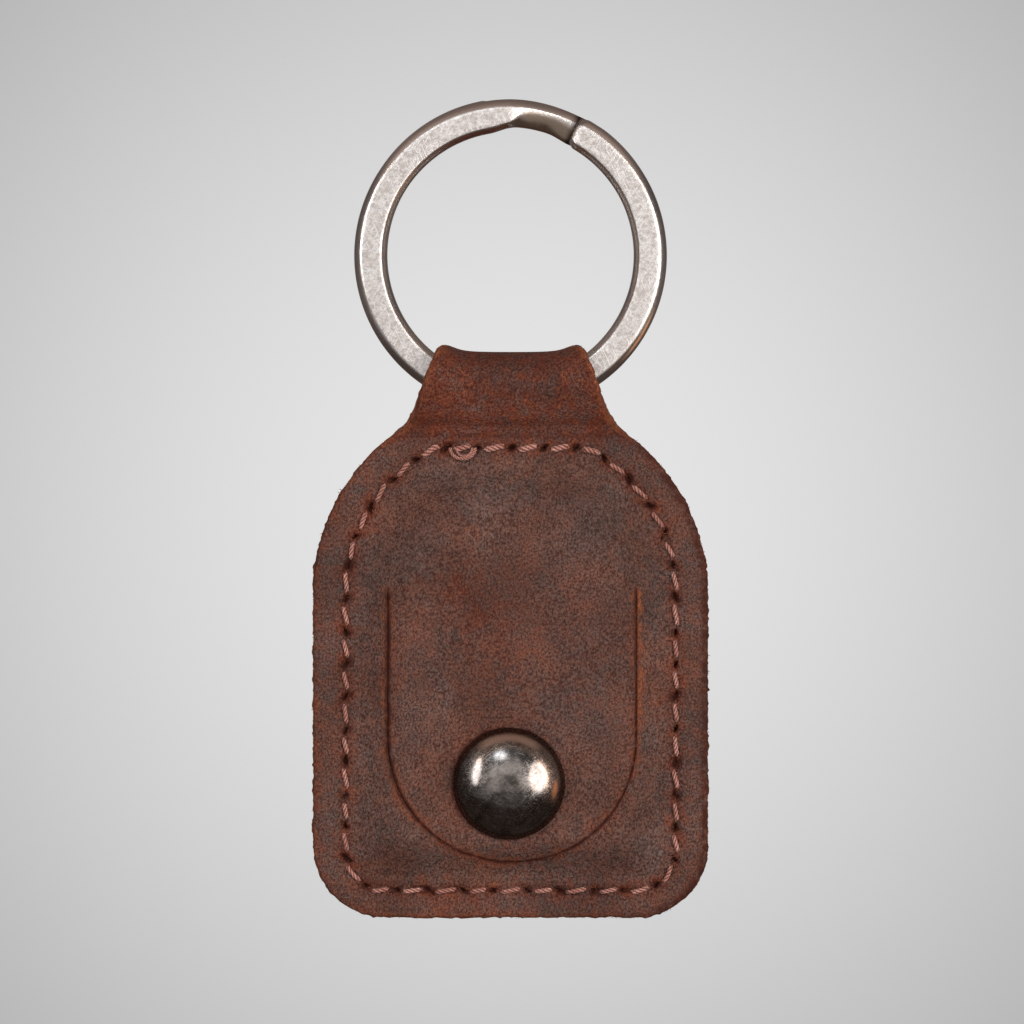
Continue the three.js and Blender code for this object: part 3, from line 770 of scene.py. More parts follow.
def leather_bands():
    """All the grids of the strip: the whole width from the flap's hinge up the front, over the ring
    and down the back; the bands left and right of the tongue; and the foot of the front panel."""
    up = np.linspace(HINGE_Z, FLARE_Z, UP_ROWS)
    flare = np.linspace(0, FLARE_TURN, FLARE_ROWS)[1:]
    loop = np.linspace(-FLARE_TURN, math.pi / 2, LOOP_ROWS)[1:]
    foot = BOTTOM_Z + CORNER_R * (1 - np.cos(np.linspace(math.pi / 2, 0, FOOT_ROWS)))
    down = np.concatenate([np.linspace(FLARE_Z, foot[0], BACK_ROWS)[:-1], foot])
    rows = [(PANEL, up, -1), (FLARE, flare, -1), (LOOP, loop, -1),
            (LOOP, loop[-2::-1], 1), (FLARE, flare[::-1], 1), (PANEL, down, 1)]
    rows = np.concatenate([np.stack([np.full_like(at, kind), at, np.full_like(at, side)], -1)
                           for kind, at, side in rows])
    kind, at, side = (rows[:, k:k + 1] for k in range(3))
    run = np.where(kind == PANEL, at * side, NECK_RUN + NECK_RUN_TURN * at * side)
    half = row_half(kind, at)
    left = -half - np.where(side < 0, *(fray(run, seed) for seed in FRAY_LEFT))
    right = half + np.where(side < 0, *(fray(run, seed) for seed in FRAY_RIGHT))
    band_l = band_columns(-1, left[:1], np.array([[FLAP_X - CUT_OUT]]))
    band_r = band_columns(1, right[:1], np.array([[FLAP_X + CUT_OUT]]))
    middle = FLAP_X + np.linspace(-CUT_OUT, CUT_OUT, TONGUE_COLUMNS + 2)[None, 1:-1]
    first = np.concatenate([band_l, middle, band_r], -1)
    count = first.shape[1]
    cut_l, cut_r = band_l.shape[1] - 1, count - band_r.shape[1]
    kept = thin(count, [cut_l, cut_r])
    outer, inner, patches = band_faces(kind, at, side, spread(first, left, right), kept, (1, 1))
    joined = nearest_kept(count, kept)
    tongue = slice(cut_l, cut_r + 1)
    patches.append((np.stack([outer[0, tongue], inner[0, joined[tongue]]]), RAW))
    patches.append((np.stack([outer[-1], inner[-1, joined]]), RAW))

    at = cut_rows(CUT_OUT)
    kind = np.full_like(at, PANEL)
    half, gap = row_half(kind, at), tongue_half(at, CUT_OUT)
    kept_l, kept_r = kept[kept <= cut_l], kept[kept >= cut_r] - cut_r
    last = []
    for sign, (seed, _), kept in ((-1, FRAY_LEFT, kept_l), (1, FRAY_RIGHT, kept_r)):
        x = band_columns(sign, sign * (half + fray(-at, seed)), FLAP_X + sign * gap)
        cut = -tongue_room(x, at, CUT_OUT)
        patches += band_faces(kind, at, -1, x, kept, (sign < 0, sign > 0), cut)[2]
        last.append(x[-1:])

    near = ARC_Z - CUT_OUT - TIP_STEPS
    at = np.concatenate([near, foot[foot < near[-1] - TIP_CLEAR]])[:, None]
    kind = np.full_like(at, PANEL)
    half = row_half(kind, at)
    first = np.concatenate([last[0], last[1][:, 1:]], -1)
    x = spread(first, -half - fray(-at, FRAY_LEFT[0]), half + fray(-at, FRAY_RIGHT[0]))
    kept = np.unique(np.concatenate([kept_l, kept_r + cut_l]))
    cut = -tongue_room(x, at, CUT_OUT)
    outer, inner, faces = band_faces(kind, at, -1, x, kept, (1, 1), cut)
    joined = nearest_kept(first.shape[1], kept)
    patches += [*faces, (np.stack([outer[-1], inner[-1, joined]]), RAW)]
    return [(ragged_foot(points), marks) for points, marks in patches]


def flap_bands():
    """Grids of the flap: the tongue's outer and inner face, row by row down to the tip of its half
    circle, with rounded cut edges, a dimple under the cap, and the wall that meets the hinge."""
    at = cut_rows(CUT_IN)
    kind = np.full_like(at, PANEL)
    share = np.linspace(-FLAP_INNER, FLAP_INNER, FLAP_COLUMNS)
    share = np.concatenate([-FLAP_RIM, share, FLAP_RIM[::-1]])
    x = tongue_half(at, CUT_IN) * share + FLAP_X + FLAP_SHIFT
    out, marks = skin_height(kind, at, -1, x, row_half(kind, at),
                             cut=tongue_room(x - FLAP_SHIFT, at, CUT_IN), on_flap=True)
    away = np.hypot(x - SNAP_X, at - SNAP_Z)
    out = out - bell(away - CAP_R, *DIMPLE)
    marks[..., 0] += bell(away - CAP_R, *DIMPLE_WEAR)
    # Painted shadow of the cap on the leather round it, stronger towards the upper left.
    shady = (at - SNAP_Z - x + SNAP_X) / np.maximum(away, TINY)
    cap_shadow = bell(np.maximum(0, away - CAP_R), CAP_SHADOW[0] + CAP_SHADOW_SIDE * shady, CAP_SHADOW[1])
    marks[..., 3] = np.maximum(marks[..., 3], cap_shadow)
    kept = thin(x.shape[1])
    outer = place(kind, at, -1, x, out)
    inner = place(kind, at, -1, x, inner_low(kind, at, x))
    joined = nearest_kept(x.shape[1], kept)
    return [(outer, marks), (inner[:, kept], FLESH),
            wall(kind, at, -1, x[:, 0], out[:, 0], 0),
            wall(kind, at, -1, x[:, -1], out[:, -1], 0),
            (np.stack([outer[0], inner[0, joined]]), RAW)]


# Loose fibres of the hide

def fibres(base, ahead, length, seed):
    """Loose fibres: each a thin curved tube with pointed ends that starts at its base point, runs
    along its own direction, and bends aside with the square of the way along it."""
    rng = np.random.default_rng(seed)
    count = len(base)
    along = FIBRE_ALONG[None, :, None]
    thick = FIBRE_TAPER[None] * rng.uniform(*FIBRE_R, count)[:, None]
    ahead = unit(ahead)
    bend = unit(rng.normal(0, 1, (count, 3))) * rng.uniform(*FIBRE_BEND, (count, 1))
    way = ahead[:, None] * along + bend[:, None] * along**2
    centre = base[:, None] + length[:, None, None] * way
    one = unit(np.cross(ahead, rng.normal(0, 1, (count, 3))))
    two = np.cross(ahead, one)
    turn = np.linspace(0, 2 * math.pi, FIBRE_SIDES + 1)[None, None, :, None]
    ring = one[:, None, None] * np.cos(turn) + two[:, None, None] * np.sin(turn)
    return [(centre[:, :, None] + thick[:, :, None, None] * ring, RAW)]


FOOT_POINTS, CORNER_POINTS, SIDE_POINTS = 120, 60, 500


def outline_fibres():
    """Fibres along the cut edge of both panels and of the neck, standing out from the edge."""
    rng = np.random.default_rng(EDGE_SEED)
    corner = 1 - np.cos(np.linspace(0, math.pi / 2, CORNER_POINTS))
    z = np.concatenate([np.full(FOOT_POINTS, BOTTOM_Z), BOTTOM_Z + CORNER_R * corner,
                        np.linspace(BOTTOM_Z + CORNER_R, FLARE_Z, SIDE_POINTS)])
    x = outline_half(z)
    x[:FOOT_POINTS] = np.linspace(0, x[FOOT_POINTS], FOOT_POINTS)
    run = np.concatenate([[0], np.cumsum(np.hypot(np.diff(x), np.diff(z)))])

    def put(r):
        return np.stack([np.interp(r, run, x), np.interp(r, run, z)], -1)

    patches = []
    for side, count in ((-1, EDGE_FIBRES), (1, EDGE_FIBRES // 2)):
        at = rng.uniform(0, run[-1], count)
        step = unit(put(at + FIBRE_STEP) - put(at - FIBRE_STEP))
        mirror = np.where(rng.random(count) < 0.5, -1, 1)
        spot = put(at)
        deep = SLIT_HALF + LEATHER_T * (1 - rng.uniform(*EDGE_FIBRE_DEEP, count) ** EDGE_FIBRE_LOW)
        base = np.stack([mirror * (spot[:, 0] - FIBRE_ROOT), side * deep, spot[:, 1]], -1)
        lift = EDGE_FIBRE_LIFT * rng.normal(0, 1, count)
        out = np.stack([mirror * step[:, 1], lift, -step[:, 0]], -1)
        along = np.stack([mirror * step[:, 0], 0 * at, step[:, 1]], -1)
        out = out + along * rng.normal(0, EDGE_FIBRE_STRAY, (count, 1))
        long = rng.uniform(*EDGE_FIBRE_LONG, count)
        long = long + EDGE_FIBRE_MORE * rng.random(count) ** EDGE_FIBRE_RARE
        patches += fibres(base, out, long, EDGE_FIBRE_SEED + side)
    count = NECK_FIBRES
    turn = rng.uniform(-FLARE_TURN, math.pi / 2, count)
    side = np.where(rng.random(count) < NECK_FIBRE_FRONT, -1, 1)
    mirror = np.where(rng.random(count) < 0.5, -1, 1)
    kind = np.full(count, LOOP)
    x = mirror * (row_half(kind, turn) - FIBRE_ROOT)
    base = place(kind, turn, side, x, LEATHER_T * rng.uniform(*NECK_FIBRE_DEEP, count))
    out = np.stack([mirror * rng.uniform(*NECK_FIBRE_OUT, count),
                    rng.normal(0, NECK_FIBRE_STRAY, count),
                    rng.normal(*NECK_FIBRE_LIFT, count)], -1)
    long = rng.uniform(*NECK_FIBRE_LONG, count)
    return patches + fibres(base, out, long, NECK_FIBRE_SEED)


def hole_fibres(side, each, seed):
    """Fibres pulled out round the needle holes, lying over the leather."""
    rng = np.random.default_rng(seed)
    count = STITCHES * each
    turn = rng.uniform(0, 2 * math.pi, count)
    way = np.stack([np.cos(turn), np.sin(turn)], -1)
    spot = np.repeat(HOLE_AT, each, 0) + way * rng.uniform(*HOLE_FIBRE_AT, (count, 1))
    deep = SLIT_HALF + LEATHER_T - FIBRE_ROOT
    base = np.stack([spot[:, 0], np.full(count, side * deep), spot[:, 1]], -1)
    skew = way + rng.normal(0, HOLE_FIBRE_STRAY, (count, 2))
    out = np.stack([skew[:, 0], side * rng.uniform(*HOLE_FIBRE_UP, count), skew[:, 1]], -1)
    return fibres(base, out, rng.uniform(*HOLE_FIBRE_LONG, count), seed + 1)


def cut_fibres(count, half, sign, shift, seed):
    """Fibres along one edge of the tongue's cut, on the flap or on the panel round it."""
    rng = np.random.default_rng(seed)
    straight, quarter = HINGE_Z - CUT_FIBRE_TOP - ARC_Z, math.pi / 2 * half
    run = rng.uniform(-straight - quarter, straight + quarter, count)
    arc = np.maximum(0, quarter - np.abs(run)) / half
    reach = half + sign * rng.uniform(*CUT_FIBRE_AT, count)
    x = np.sign(run) * reach * np.cos(arc)
    z = ARC_Z + np.maximum(0, np.abs(run) - quarter) - reach * np.sin(arc)
    deep = gap_half(x, z) + LEATHER_T + sway(x, z) - CUT_FIBRE_ROOT
    base = np.stack([x + FLAP_X + shift, -deep, z], -1)
    out = np.stack([rng.normal(0, 1, count), -rng.uniform(*CUT_FIBRE_UP, count),
                    rng.normal(0, 1, count)], -1)
    return fibres(base, out, rng.uniform(*CUT_FIBRE_LONG, count), seed + 1)


# Thread

def tube(centres, across, ahead, section, closed):
    """Section points carried along a line of centres: across and the normal of across and ahead
    span each ring, and section gives the two offsets of each of its points."""
    up = unit(np.cross(ahead, across))
    rings = centres[:, None] + section[..., :1] * across[:, None] + section[..., 1:] * up[:, None]
    rings = np.concatenate([rings, rings[:, :1]], 1)
    return np.concatenate([rings, rings[:1]]) if closed else rings


def plied(turn, radius, points=PLY_POINTS):
    """Outline of three plies laid side by side: the far side of a circle set off from the middle,
    repeated every third of a turn, and turned along the thread."""
    angle = np.linspace(0, 2 * math.pi, points, endpoint=False)[None]
    part = 2 * math.pi / 3
    slip = np.mod(angle - turn[:, None] + part / 2, part) - part / 2
    bulge = np.sqrt(np.maximum(0, PLY_R**2 - (PLY_OFF * np.sin(slip)) ** 2))
    reach = PLY_OFF * np.cos(slip) + bulge
    round_ = np.stack([np.cos(angle) + 0 * reach, np.sin(angle) + 0 * reach], -1)
    return radius * reach[..., None] * round_, np.concatenate([reach, reach[:, :1]], 1)


def thread_bands(side):
    """One thread of the seam: over the leather from hole to hole, a little aslant, and down into
    each hole and back, its three plies twisted along it."""
    steps = THREAD_STEPS
    u = np.tile(np.linspace(0, 1, steps, endpoint=False), STITCHES)
    start = np.repeat(HOLE_RUN, steps)
    length = np.repeat(np.diff(np.append(HOLE_RUN, HOLE_RUN[0] + SEAM_LENGTH)), steps)
    at, along = seam_at(start + u * length)
    hole = np.minimum(u, 1 - u) * length
    rng = np.random.default_rng(THREAD_SEED + side)
    over = SLIT_HALF + LEATHER_T + THREAD_R - THREAD_SINK - GROOVE_DEEP
    over = over + np.repeat(rng.uniform(*THREAD_UNEVEN, STITCHES), steps)
    rise = smooth(hole, THREAD_DIP, THREAD_CLIMB)
    lift = THREAD_DEEP + (over - THREAD_DEEP) * rise + THREAD_BOW * np.sin(math.pi * u)
    right = np.stack([along[:, 1], -along[:, 0]], -1) * -side
    slant = THREAD_SLANT * np.repeat(rng.uniform(*THREAD_ASLANT, STITCHES), steps)
    at = at + right * (slant * np.sin(2 * math.pi * u))[:, None]
    centres = np.stack([at[:, 0], side * lift, at[:, 1]], -1)
    ahead = unit(np.roll(centres, -1, 0) - np.roll(centres, 1, 0))
    across = np.stack([right[:, 0], 0 * lift, right[:, 1]], -1)
    across = unit(across - ahead * (across * ahead).sum(-1, keepdims=True))
    step = np.linalg.norm(np.roll(centres, -1, 0) - centres, axis=-1)
    run = np.concatenate([[0], np.cumsum(step)[:-1]])
    turns = round(step.sum() / THREAD_TWIST)
    upper = smooth(at[:, 1], STITCH_TOP_Z + TOP_ROW[0], TOP_ROW[1])
    thick = THREAD_R * (1 - THREAD_THIN * (1 - rise)) * (1 + (THREAD_TOP - 1) * upper)
    section, ply = plied(2 * math.pi * turns * run / step.sum(), thick[:, None, None])
    rings = tube(centres, across, ahead, section, True)
    ply = np.concatenate([ply, ply[:1]])
    sunk = np.broadcast_to(np.append(rise, rise[:1])[:, None], ply.shape)
    return [(rings, np.stack([ply, sunk], -1))]


def slack_strand(reach, drop, thick, lean):
    """Slack bight of thread that hangs under one stitch of the top row: half an oval from hole to
    hole, standing a little off the leather."""
    first, last = HOLE_AT[-2], HOLE_AT[-1]
    v = np.linspace(0, 1, SLACK_STEPS)
    angle = math.pi * v
    middle, reach = (first + last) / 2 + np.array([lean, 0]), (last - first) / 2 * reach
    x = middle[0] - reach[0] * np.cos(angle)
    z = middle[1] - reach[1] * np.cos(angle) - drop * np.sin(angle) ** SLACK_ROUND
    y = -(SLIT_HALF + LEATHER_T + SLACK_OFF + SLACK_LIFT * np.sin(angle))
    centres = np.stack([x, y, z], -1)
    ahead = unit(np.gradient(centres, axis=0))
    across = np.cross(ahead, [0.0, 1.0, 0.0])
    section, ply = plied(2 * math.pi * v * SLACK_TURNS, thick, SLACK_POINTS)
    rings = capped(tube(centres, unit(across), ahead, section, False), centres)
    ply = held(ply)
    return [(rings, np.stack([ply, np.ones_like(ply)], -1))]


# Split ring

def ring_bands():
    """Flat wire with full, bevelled edges wound almost two turns. Its section, flats and upright
    walls between quarter curves u^n + v^n = 1, is carried round the ring's axis; it steps from the
    front layer to the rear one before its own end, is narrowed and bevelled inside there, and is
    rounded off at both ends. The outer edges are rubbed rounder at both sides."""
    middle = (RING_OUT_R + RING_IN_R) / 2
    layer = (RING_WIRE_T + RING_TURN_GAP) / 2
    deep = np.degrees(np.array(RING_END_STEPS) / middle)
    body = np.linspace(RING_END, RING_END + RING_SWEEP, RING_STEPS)[2:-2]
    turn = np.concatenate([RING_END + deep, body, RING_END + RING_SWEEP - deep[::-1]])
    end = np.minimum(turn - RING_END, RING_END + RING_SWEEP - turn) * math.radians(1) * middle
    inset = rounding(end, RING_END_ROUND, RING_END_FULL)[:, None]
    jog = smooth(turn, RING_JOG_FROM, RING_JOG_TO - RING_JOG_FROM)
    past = 360 + RING_END
    rise = RING_REAR_RISE * smooth(turn, past - RING_RISE_EARLY, RING_RISE_RUN)
    rise = rise * np.cos(np.radians(turn / 2)) ** 2
    back = 1 - smooth(turn, past, RING_PINCH_PAST)
    fill = 1 - RING_FILL * smooth(turn, RING_FILL_FROM, past - RING_FILL_FROM)
    pinch = (smooth(turn, RING_PINCH_FROM, RING_PINCH_RUN) * back * fill)[:, None]
    wedge = (smooth(turn, RING_WEDGE_FROM, RING_WEDGE_RUN) * back)[:, None]
    half, thick = RING_WIRE_W / 2, RING_WIRE_T / 2
    t = np.linspace(0, math.pi / 2, RING_CURVE_POINTS)[None]

    def curve(full):
        return np.sin(t) ** (2 / full), np.cos(t) ** (2 / full)

    def rub(u):
        return smooth(u, *RING_POLISH)

    sideways = np.abs(np.sin(np.radians(turn)))[:, None]
    full_out = RING_EDGE_FULL + (RING_EDGE_RUBBED - RING_EDGE_FULL) * smooth(sideways, *RING_RUB)
    rim, rim_face = curve(full_out)
    side, face = curve(RING_EDGE_FULL + 0 * wedge)
    slope, brow = curve(RING_EDGE_FULL + (RING_BEVEL_FULL - RING_EDGE_FULL) * wedge)
    flat = np.linspace(0, 1, RING_FLAT_POINTS)[None, 1:-1]
    bevel = RING_EDGE_IN + RING_BEVEL * wedge
    low, high = -half + RING_PINCH * pinch, half - RING_EDGE
    r = np.concatenate([high + RING_EDGE * rim[:, ::-1], high + (low + RING_EDGE_IN - high) * flat,
                        low + RING_EDGE_IN * (1 - side), low + bevel * (1 - slope[:, ::-1]),
                        low + bevel + (high - low - bevel) * flat, high + RING_EDGE * rim], 1)
    one = np.ones_like(pinch + flat)
    wall_in = RING_WALL * (1 - wedge)
    rim_face, face = (RING_WALL + (1 - RING_WALL) * v for v in (rim_face, face))
    brow = wall_in + (1 - wall_in) * brow
    a = thick * np.concatenate([rim_face[:, ::-1], one, face, -brow[:, ::-1], -one, -rim_face], 1)
    r, a = (np.concatenate([v, v[:, :1]], 1) for v in (r, a))
    r = r * (1 - inset / half)
    a = a * (1 - RING_END_THIN * inset / thick)
    slot = (turn - past + RING_SLOT_TURN) * math.radians(1) * middle
    # Painted shade at both ends of the wire and in the slot beside the front end.
    split_shade = bell(end, 1, RING_SPLIT_SHADE) + bell(slot, 1, RING_SLOT_SHADE)
    plain = np.zeros_like(one)
    inner = rub(slope[:, ::-1])
    polish = held(np.concatenate([rub(rim[:, ::-1]), plain, rub(side), inner, plain, rub(rim),
                                  one[:, :1]], 1))
    # Painted warm reflection on the jog's inner bevel.
    warm_reflection = held(np.concatenate([0 * rim, plain, 0 * side, wedge * inner, plain, 0 * rim,
                                  plain[:, :1]], 1))
    swing = np.radians(turn)[:, None]
    y = (layer * (2 * jog - 1))[:, None]
    rings = np.stack([(middle + r) * np.sin(swing), y + a,
                      RING_Z + rise[:, None] + (middle + r) * np.cos(swing)], -1)
    split_shade = held(split_shade)[:, None] + 0 * polish
    return [(capped(rings, rings.mean(1)), np.stack([split_shade, polish, warm_reflection], -1))]


# Press stud

SOFT_SHARE = 0.45
SOCKET_SOFT, STUD_SOFT, RIVET_SOFT = 0.14, 0.18, 0.22
DOME_ROWS = 44
DOME_FROM = math.pi / 2 - 0.05
BRIM_TO = math.pi * 0.2
BRIM_POINTS = 8
STUD_NOSE = 0.6
STUD_SHOULDER = 0.5
STUD_WALL = 1.5
RIVET_EDGE = 0.45
RIVET_SLOPE = 0.9
LIP_BACK = 0.1
SPRING_STEPS, SPRING_SIDES = 90, 16


def softened(profile, radius, steps=5):
    """Closed profile with each corner replaced by a short curve between points set back on its two
    sides: a quadratic curve with the corner as its control point."""
    p = np.asarray(profile, float)

    def set_back(other):
        long = np.maximum(TINY, np.linalg.norm(other - p, axis=1))
        return p + (other - p) * np.minimum(SOFT_SHARE, radius / long)[:, None]

    a, b = set_back(np.roll(p, 1, 0)), set_back(np.roll(p, -1, 0))
    s = np.linspace(0, 1, steps)[None, :, None]
    curve = (1 - s) ** 2 * a[:, None] + 2 * s * (1 - s) * p[:, None] + s**2 * b[:, None]
    on_axis = (p[:, 0] < TINY)[:, None, None]
    curve = np.where(on_axis, p[:, None], curve).reshape(-1, 2)
    return np.concatenate([curve, curve[:1]])


def turned(profile):
    """Closed profile of radius and y carried round the stud's axis."""
    turn = np.linspace(0, 2 * math.pi, TURN_STEPS + 1)
    r, y = profile[:, :1], profile[:, 1:]
    grid = [SNAP_X + r * np.sin(turn), y + 0 * turn, SNAP_Z + r * np.cos(turn)]
    return [(np.stack(grid, -1), np.zeros(1))]


def cap_bands():
    """Cap of the press stud: a drawn dome, a parabola raised to a fuller power so that it steepens
    at its edge, on a short steep brim."""
    seat = FRONT_OUT - SEAT
    rim, crown = seat - CAP_RIM, seat - CAP_RISE
    share = np.sin(np.linspace(DOME_FROM, 0, DOME_ROWS))

    def dome(r, top):
        return np.stack([r * share, rim + (top - rim) * (1 - share**2) ** CAP_FULL], -1)

    outside = dome(CAP_R - CAP_STEP, crown)
    inside = dome(CAP_R - CAP_STEP - SHEET, crown + SHEET)[::-1]
    outside[-1, 0] = inside[0, 0] = 0
    roll = np.linspace(-math.pi / 2, BRIM_TO, BRIM_POINTS)
    brim = np.stack([CAP_R - CAP_ROLL + CAP_ROLL * np.cos(roll),
                     seat - CAP_ROLL - CAP_ROLL * np.sin(roll)], -1)
    lip = seat - SHEET / 2
    under = np.array([[CAP_R - CAP_STEP - SHEET - LIP_BACK, lip], [CAP_LIP_R, lip],
                      [CAP_LIP_R, seat]])
    return turned(np.concatenate([brim, outside, inside, under, brim[:1]]))


SPRING_IN = NECK_R + SPRING_CLEAR
SPRING_MID = SPRING_IN + SPRING_WIRE_R
SPRING_Y = SOCKET_MOUTH - MOUTH_LIP - SPRING_SPARE - SPRING_WIRE_R
SOCKET_BORE = HEAD_R + HEAD_CLEAR
HEAD_BACK = SPRING_Y - SPRING_WIRE_R - LOOSE


def socket_bands():
    """Socket of the press stud: a shallow cup with a grooved bore that holds the spring."""
    floor = FRONT_IN + SEAT
    seat = floor + SOCKET_FLOOR
    groove = SPRING_MID + SPRING_WIRE_R + LOOSE
    half = SPRING_WIRE_R + SPRING_SPARE
    return turned(softened([
        [POST_R + SEAT, floor], [SOCKET_R - SHEET, floor], [SOCKET_R, floor + SHEET],
        [SOCKET_R - SHEET / 2, SOCKET_MOUTH - SHEET], [SOCKET_R - SHEET * 2, SOCKET_MOUTH],
        [SOCKET_BORE, SOCKET_MOUTH], [SOCKET_BORE, SPRING_Y + half], [groove, SPRING_Y + half],
        [groove, SPRING_Y - half], [SOCKET_BORE, SPRING_Y - half], [SOCKET_BORE, seat],
        [POST_R + SEAT, seat]], SOCKET_SOFT))


def spring_bands():
    """Wire spring of the socket: a round wire bent to an open ring."""
    turn = np.linspace(-SPRING_HALF_TURN, SPRING_HALF_TURN, SPRING_STEPS)[:, None]
    round_ = np.linspace(0, 2 * math.pi, SPRING_SIDES + 1)[None]
    end = (SPRING_HALF_TURN - np.abs(turn)) * math.radians(1) * SPRING_MID
    turn = np.radians(turn)
    wire = SPRING_WIRE_R - rounding(end, SPRING_END_ROUND)
    r = SPRING_MID + wire * np.cos(round_)
    rings = np.stack([SNAP_X + r * np.sin(turn), SPRING_Y + wire * np.sin(round_),
                      SNAP_Z + r * np.cos(turn)], -1)
    return [(capped(rings, rings.mean(1)), np.zeros(1))]


def stud_bands():
    """Stud of the press stud: a hollow head with a narrower neck on a round flange."""
    seat = BACK_IN - SEAT
    face = seat - STUD_FLANGE_T
    cut = HEAD_BACK - SHEET / 2
    bore = HEAD_R - SHEET * STUD_WALL
    return turned(softened([
        [0, STUD_TIP], [HEAD_R * STUD_NOSE, STUD_TIP],
        [HEAD_R, STUD_TIP + (HEAD_BACK - STUD_TIP) * STUD_SHOULDER],
        [HEAD_R, HEAD_BACK - SHEET / 4], [NECK_R, HEAD_BACK], [NECK_R, face], [STUD_FLANGE_R, face],
        [STUD_FLANGE_R, seat], [NECK_R - SHEET, seat], [NECK_R - SHEET, cut], [bore, cut],
        [bore, STUD_TIP + SHEET], [0, STUD_TIP + SHEET]], STUD_SOFT))


def rivet_bands():
    """Rivet that holds the stud: a low round head on the back and a shank through the leather."""
    under = BACK_OUT + SEAT
    back = under + RIVET_HEAD_T
    return turned(softened([
        [0, HEAD_BACK - SHEET / 2], [RIVET_R, HEAD_BACK - SHEET / 2], [RIVET_R, under],
        [RIVET_HEAD_R, under], [RIVET_HEAD_R, under + RIVET_HEAD_T * RIVET_EDGE],
        [RIVET_HEAD_R - RIVET_HEAD_T * RIVET_SLOPE, back], [0, back]], RIVET_SOFT))


# Finishes

def linear(*rgb):
    """A colour written as 0 to 255 display values, in the linear values that shaders take."""
    c = np.array(rgb) / 255
    c = np.where(c <= 0.04045, c / 12.92, ((c + 0.055) / 1.055) ** 2.4)
    return (*c.tolist(), 1.0)


RANGE = ("From Min", "From Max", "To Min", "To Max")


class Finish:
    """A material under one name, with short ways to add the nodes of this object's finishes."""

    def __init__(self, name, **constants):
        self.material = bpy.data.materials.new(name)
        self.material.use_nodes = True
        self.tree = self.material.node_tree
        self.shader = self.tree.nodes["Principled BSDF"]
        for socket, value in constants.items():
            self.shader.inputs[socket.replace("_", " ")].default_value = value
        self.where = self.node("ShaderNodeTexCoord").outputs["Object"]

    def node(self, kind, **inputs):
        made = self.tree.nodes.new(kind)
        for name, value in inputs.items():
            self.put(made.inputs[name.replace("_", " ")], value)
        return made

    def put(self, socket, value):
        if isinstance(value, bpy.types.NodeSocket):
            self.tree.links.new(value, socket)
        else:
            socket.default_value = value

    def stretched(self, longer, turn):
        """Coordinates in which a pattern is drawn out along a line in the front face, turned from
        upright by an angle."""
        made = self.node("ShaderNodeMapping", Vector=self.where, Scale=(1, 1, longer),
                         Rotation=(0, turn, 0))
        made.vector_type = "TEXTURE"
        return made.outputs[0]

    def noise(self, size, detail=2.0, roughness=0.5, where=None, distortion=0.0):
        """Noise whose grains are about size millimetres across."""
        return self.node("ShaderNodeTexNoise", Vector=where or self.where, Scale=1 / (size * MM),
                         Detail=detail, Roughness=roughness, Distortion=distortion).outputs[0]

    def mark(self, name):
        made = self.node("ShaderNodeAttribute")
        made.attribute_name = name
        return made.outputs["Fac"]

    def ramp(self, value, low, high, to_low=0.0, to_high=1.0):
        made = self.node("ShaderNodeMapRange", Value=value)
        made.interpolation_type = "SMOOTHSTEP"
        for name, number in zip(RANGE, (low, high, to_low, to_high)):
            made.inputs[name].default_value = number
        return made.outputs[0]

    def calc(self, operation, a, b=0.0, clamp=False):
        made = self.node("ShaderNodeMath")
        made.operation = operation
        made.use_clamp = clamp
        self.put(made.inputs[0], a)
        self.put(made.inputs[1], b)
        return made.outputs[0]

    def add(self, a, b, clamp=False):
        return self.calc("ADD", a, b, clamp)

    def times(self, a, b, clamp=False):
        return self.calc("MULTIPLY", a, b, clamp)

    def most(self, first, *others):
        for other in others:
            first = self.calc("MAXIMUM", first, other)
        return first

    def squares(self, a, b):
        """The sum of two squares."""
        return self.add(self.times(a, a), self.times(b, b))

    def scratches(self, size, longer, runs, **noise):
        """Fine lines in several directions, each with its angle and the level it shows from."""
        return self.most(*(self.ramp(self.noise(size, 1.0, 0.5, where=self.stretched(longer, turn),
                                                **noise), low, low + 0.1) for turn, low in runs))

    def mix(self, share, a, b, blend="MIX"):
        made = self.node("ShaderNodeMix")
        made.data_type = "RGBA"
        made.blend_type = blend
        for socket, value in ((made.inputs[0], share), (made.inputs[6], a), (made.inputs[7], b)):
            self.put(socket, value)
        return made.outputs[2]

    def bump(self, height, deep, strength=1.0, under=None):
        made = self.node("ShaderNodeBump", Height=height, Distance=deep * MM, Strength=strength)
        if under is not None:
            self.put(made.inputs["Normal"], under)
        return made.outputs[0]

    def done(self, **sockets):
        for name, value in sockets.items():
            self.put(self.shader.inputs[name.replace("_", " ")], value)
        return self.material


HIDE_GREY = linear(88, 67, 60)
HIDE_RUST = linear(104, 58, 41)
HIDE_WORN = linear(93, 43, 28)
HIDE_ORANGE = linear(138, 80, 50)
HIDE_SHADE = linear(52, 32, 26)
HIDE_STAIN_SHADE = linear(64, 27, 16)
RAW_DARK = linear(92, 44, 26)
RAW_LIGHT = linear(162, 92, 58)
SUEDE_DARK = linear(86, 54, 40)
SUEDE_LIGHT = linear(126, 84, 64)
THREAD_DARK = linear(172, 103, 88)
THREAD_LIGHT = linear(240, 178, 160)
THREAD_BROWN = linear(150, 84, 62)
THREAD_FURROW_SHADE = linear(84, 36, 22)
THREAD_HOLE_SHADE = linear(62, 28, 18)
NICKEL_DARK = linear(200, 189, 182)
NICKEL_LIGHT = linear(250, 241, 236)
NICKEL_PEPPER = linear(186, 174, 167)
NICKEL_SCRATCH = linear(255, 251, 248)
NICKEL_RUBBED = linear(222, 209, 200)
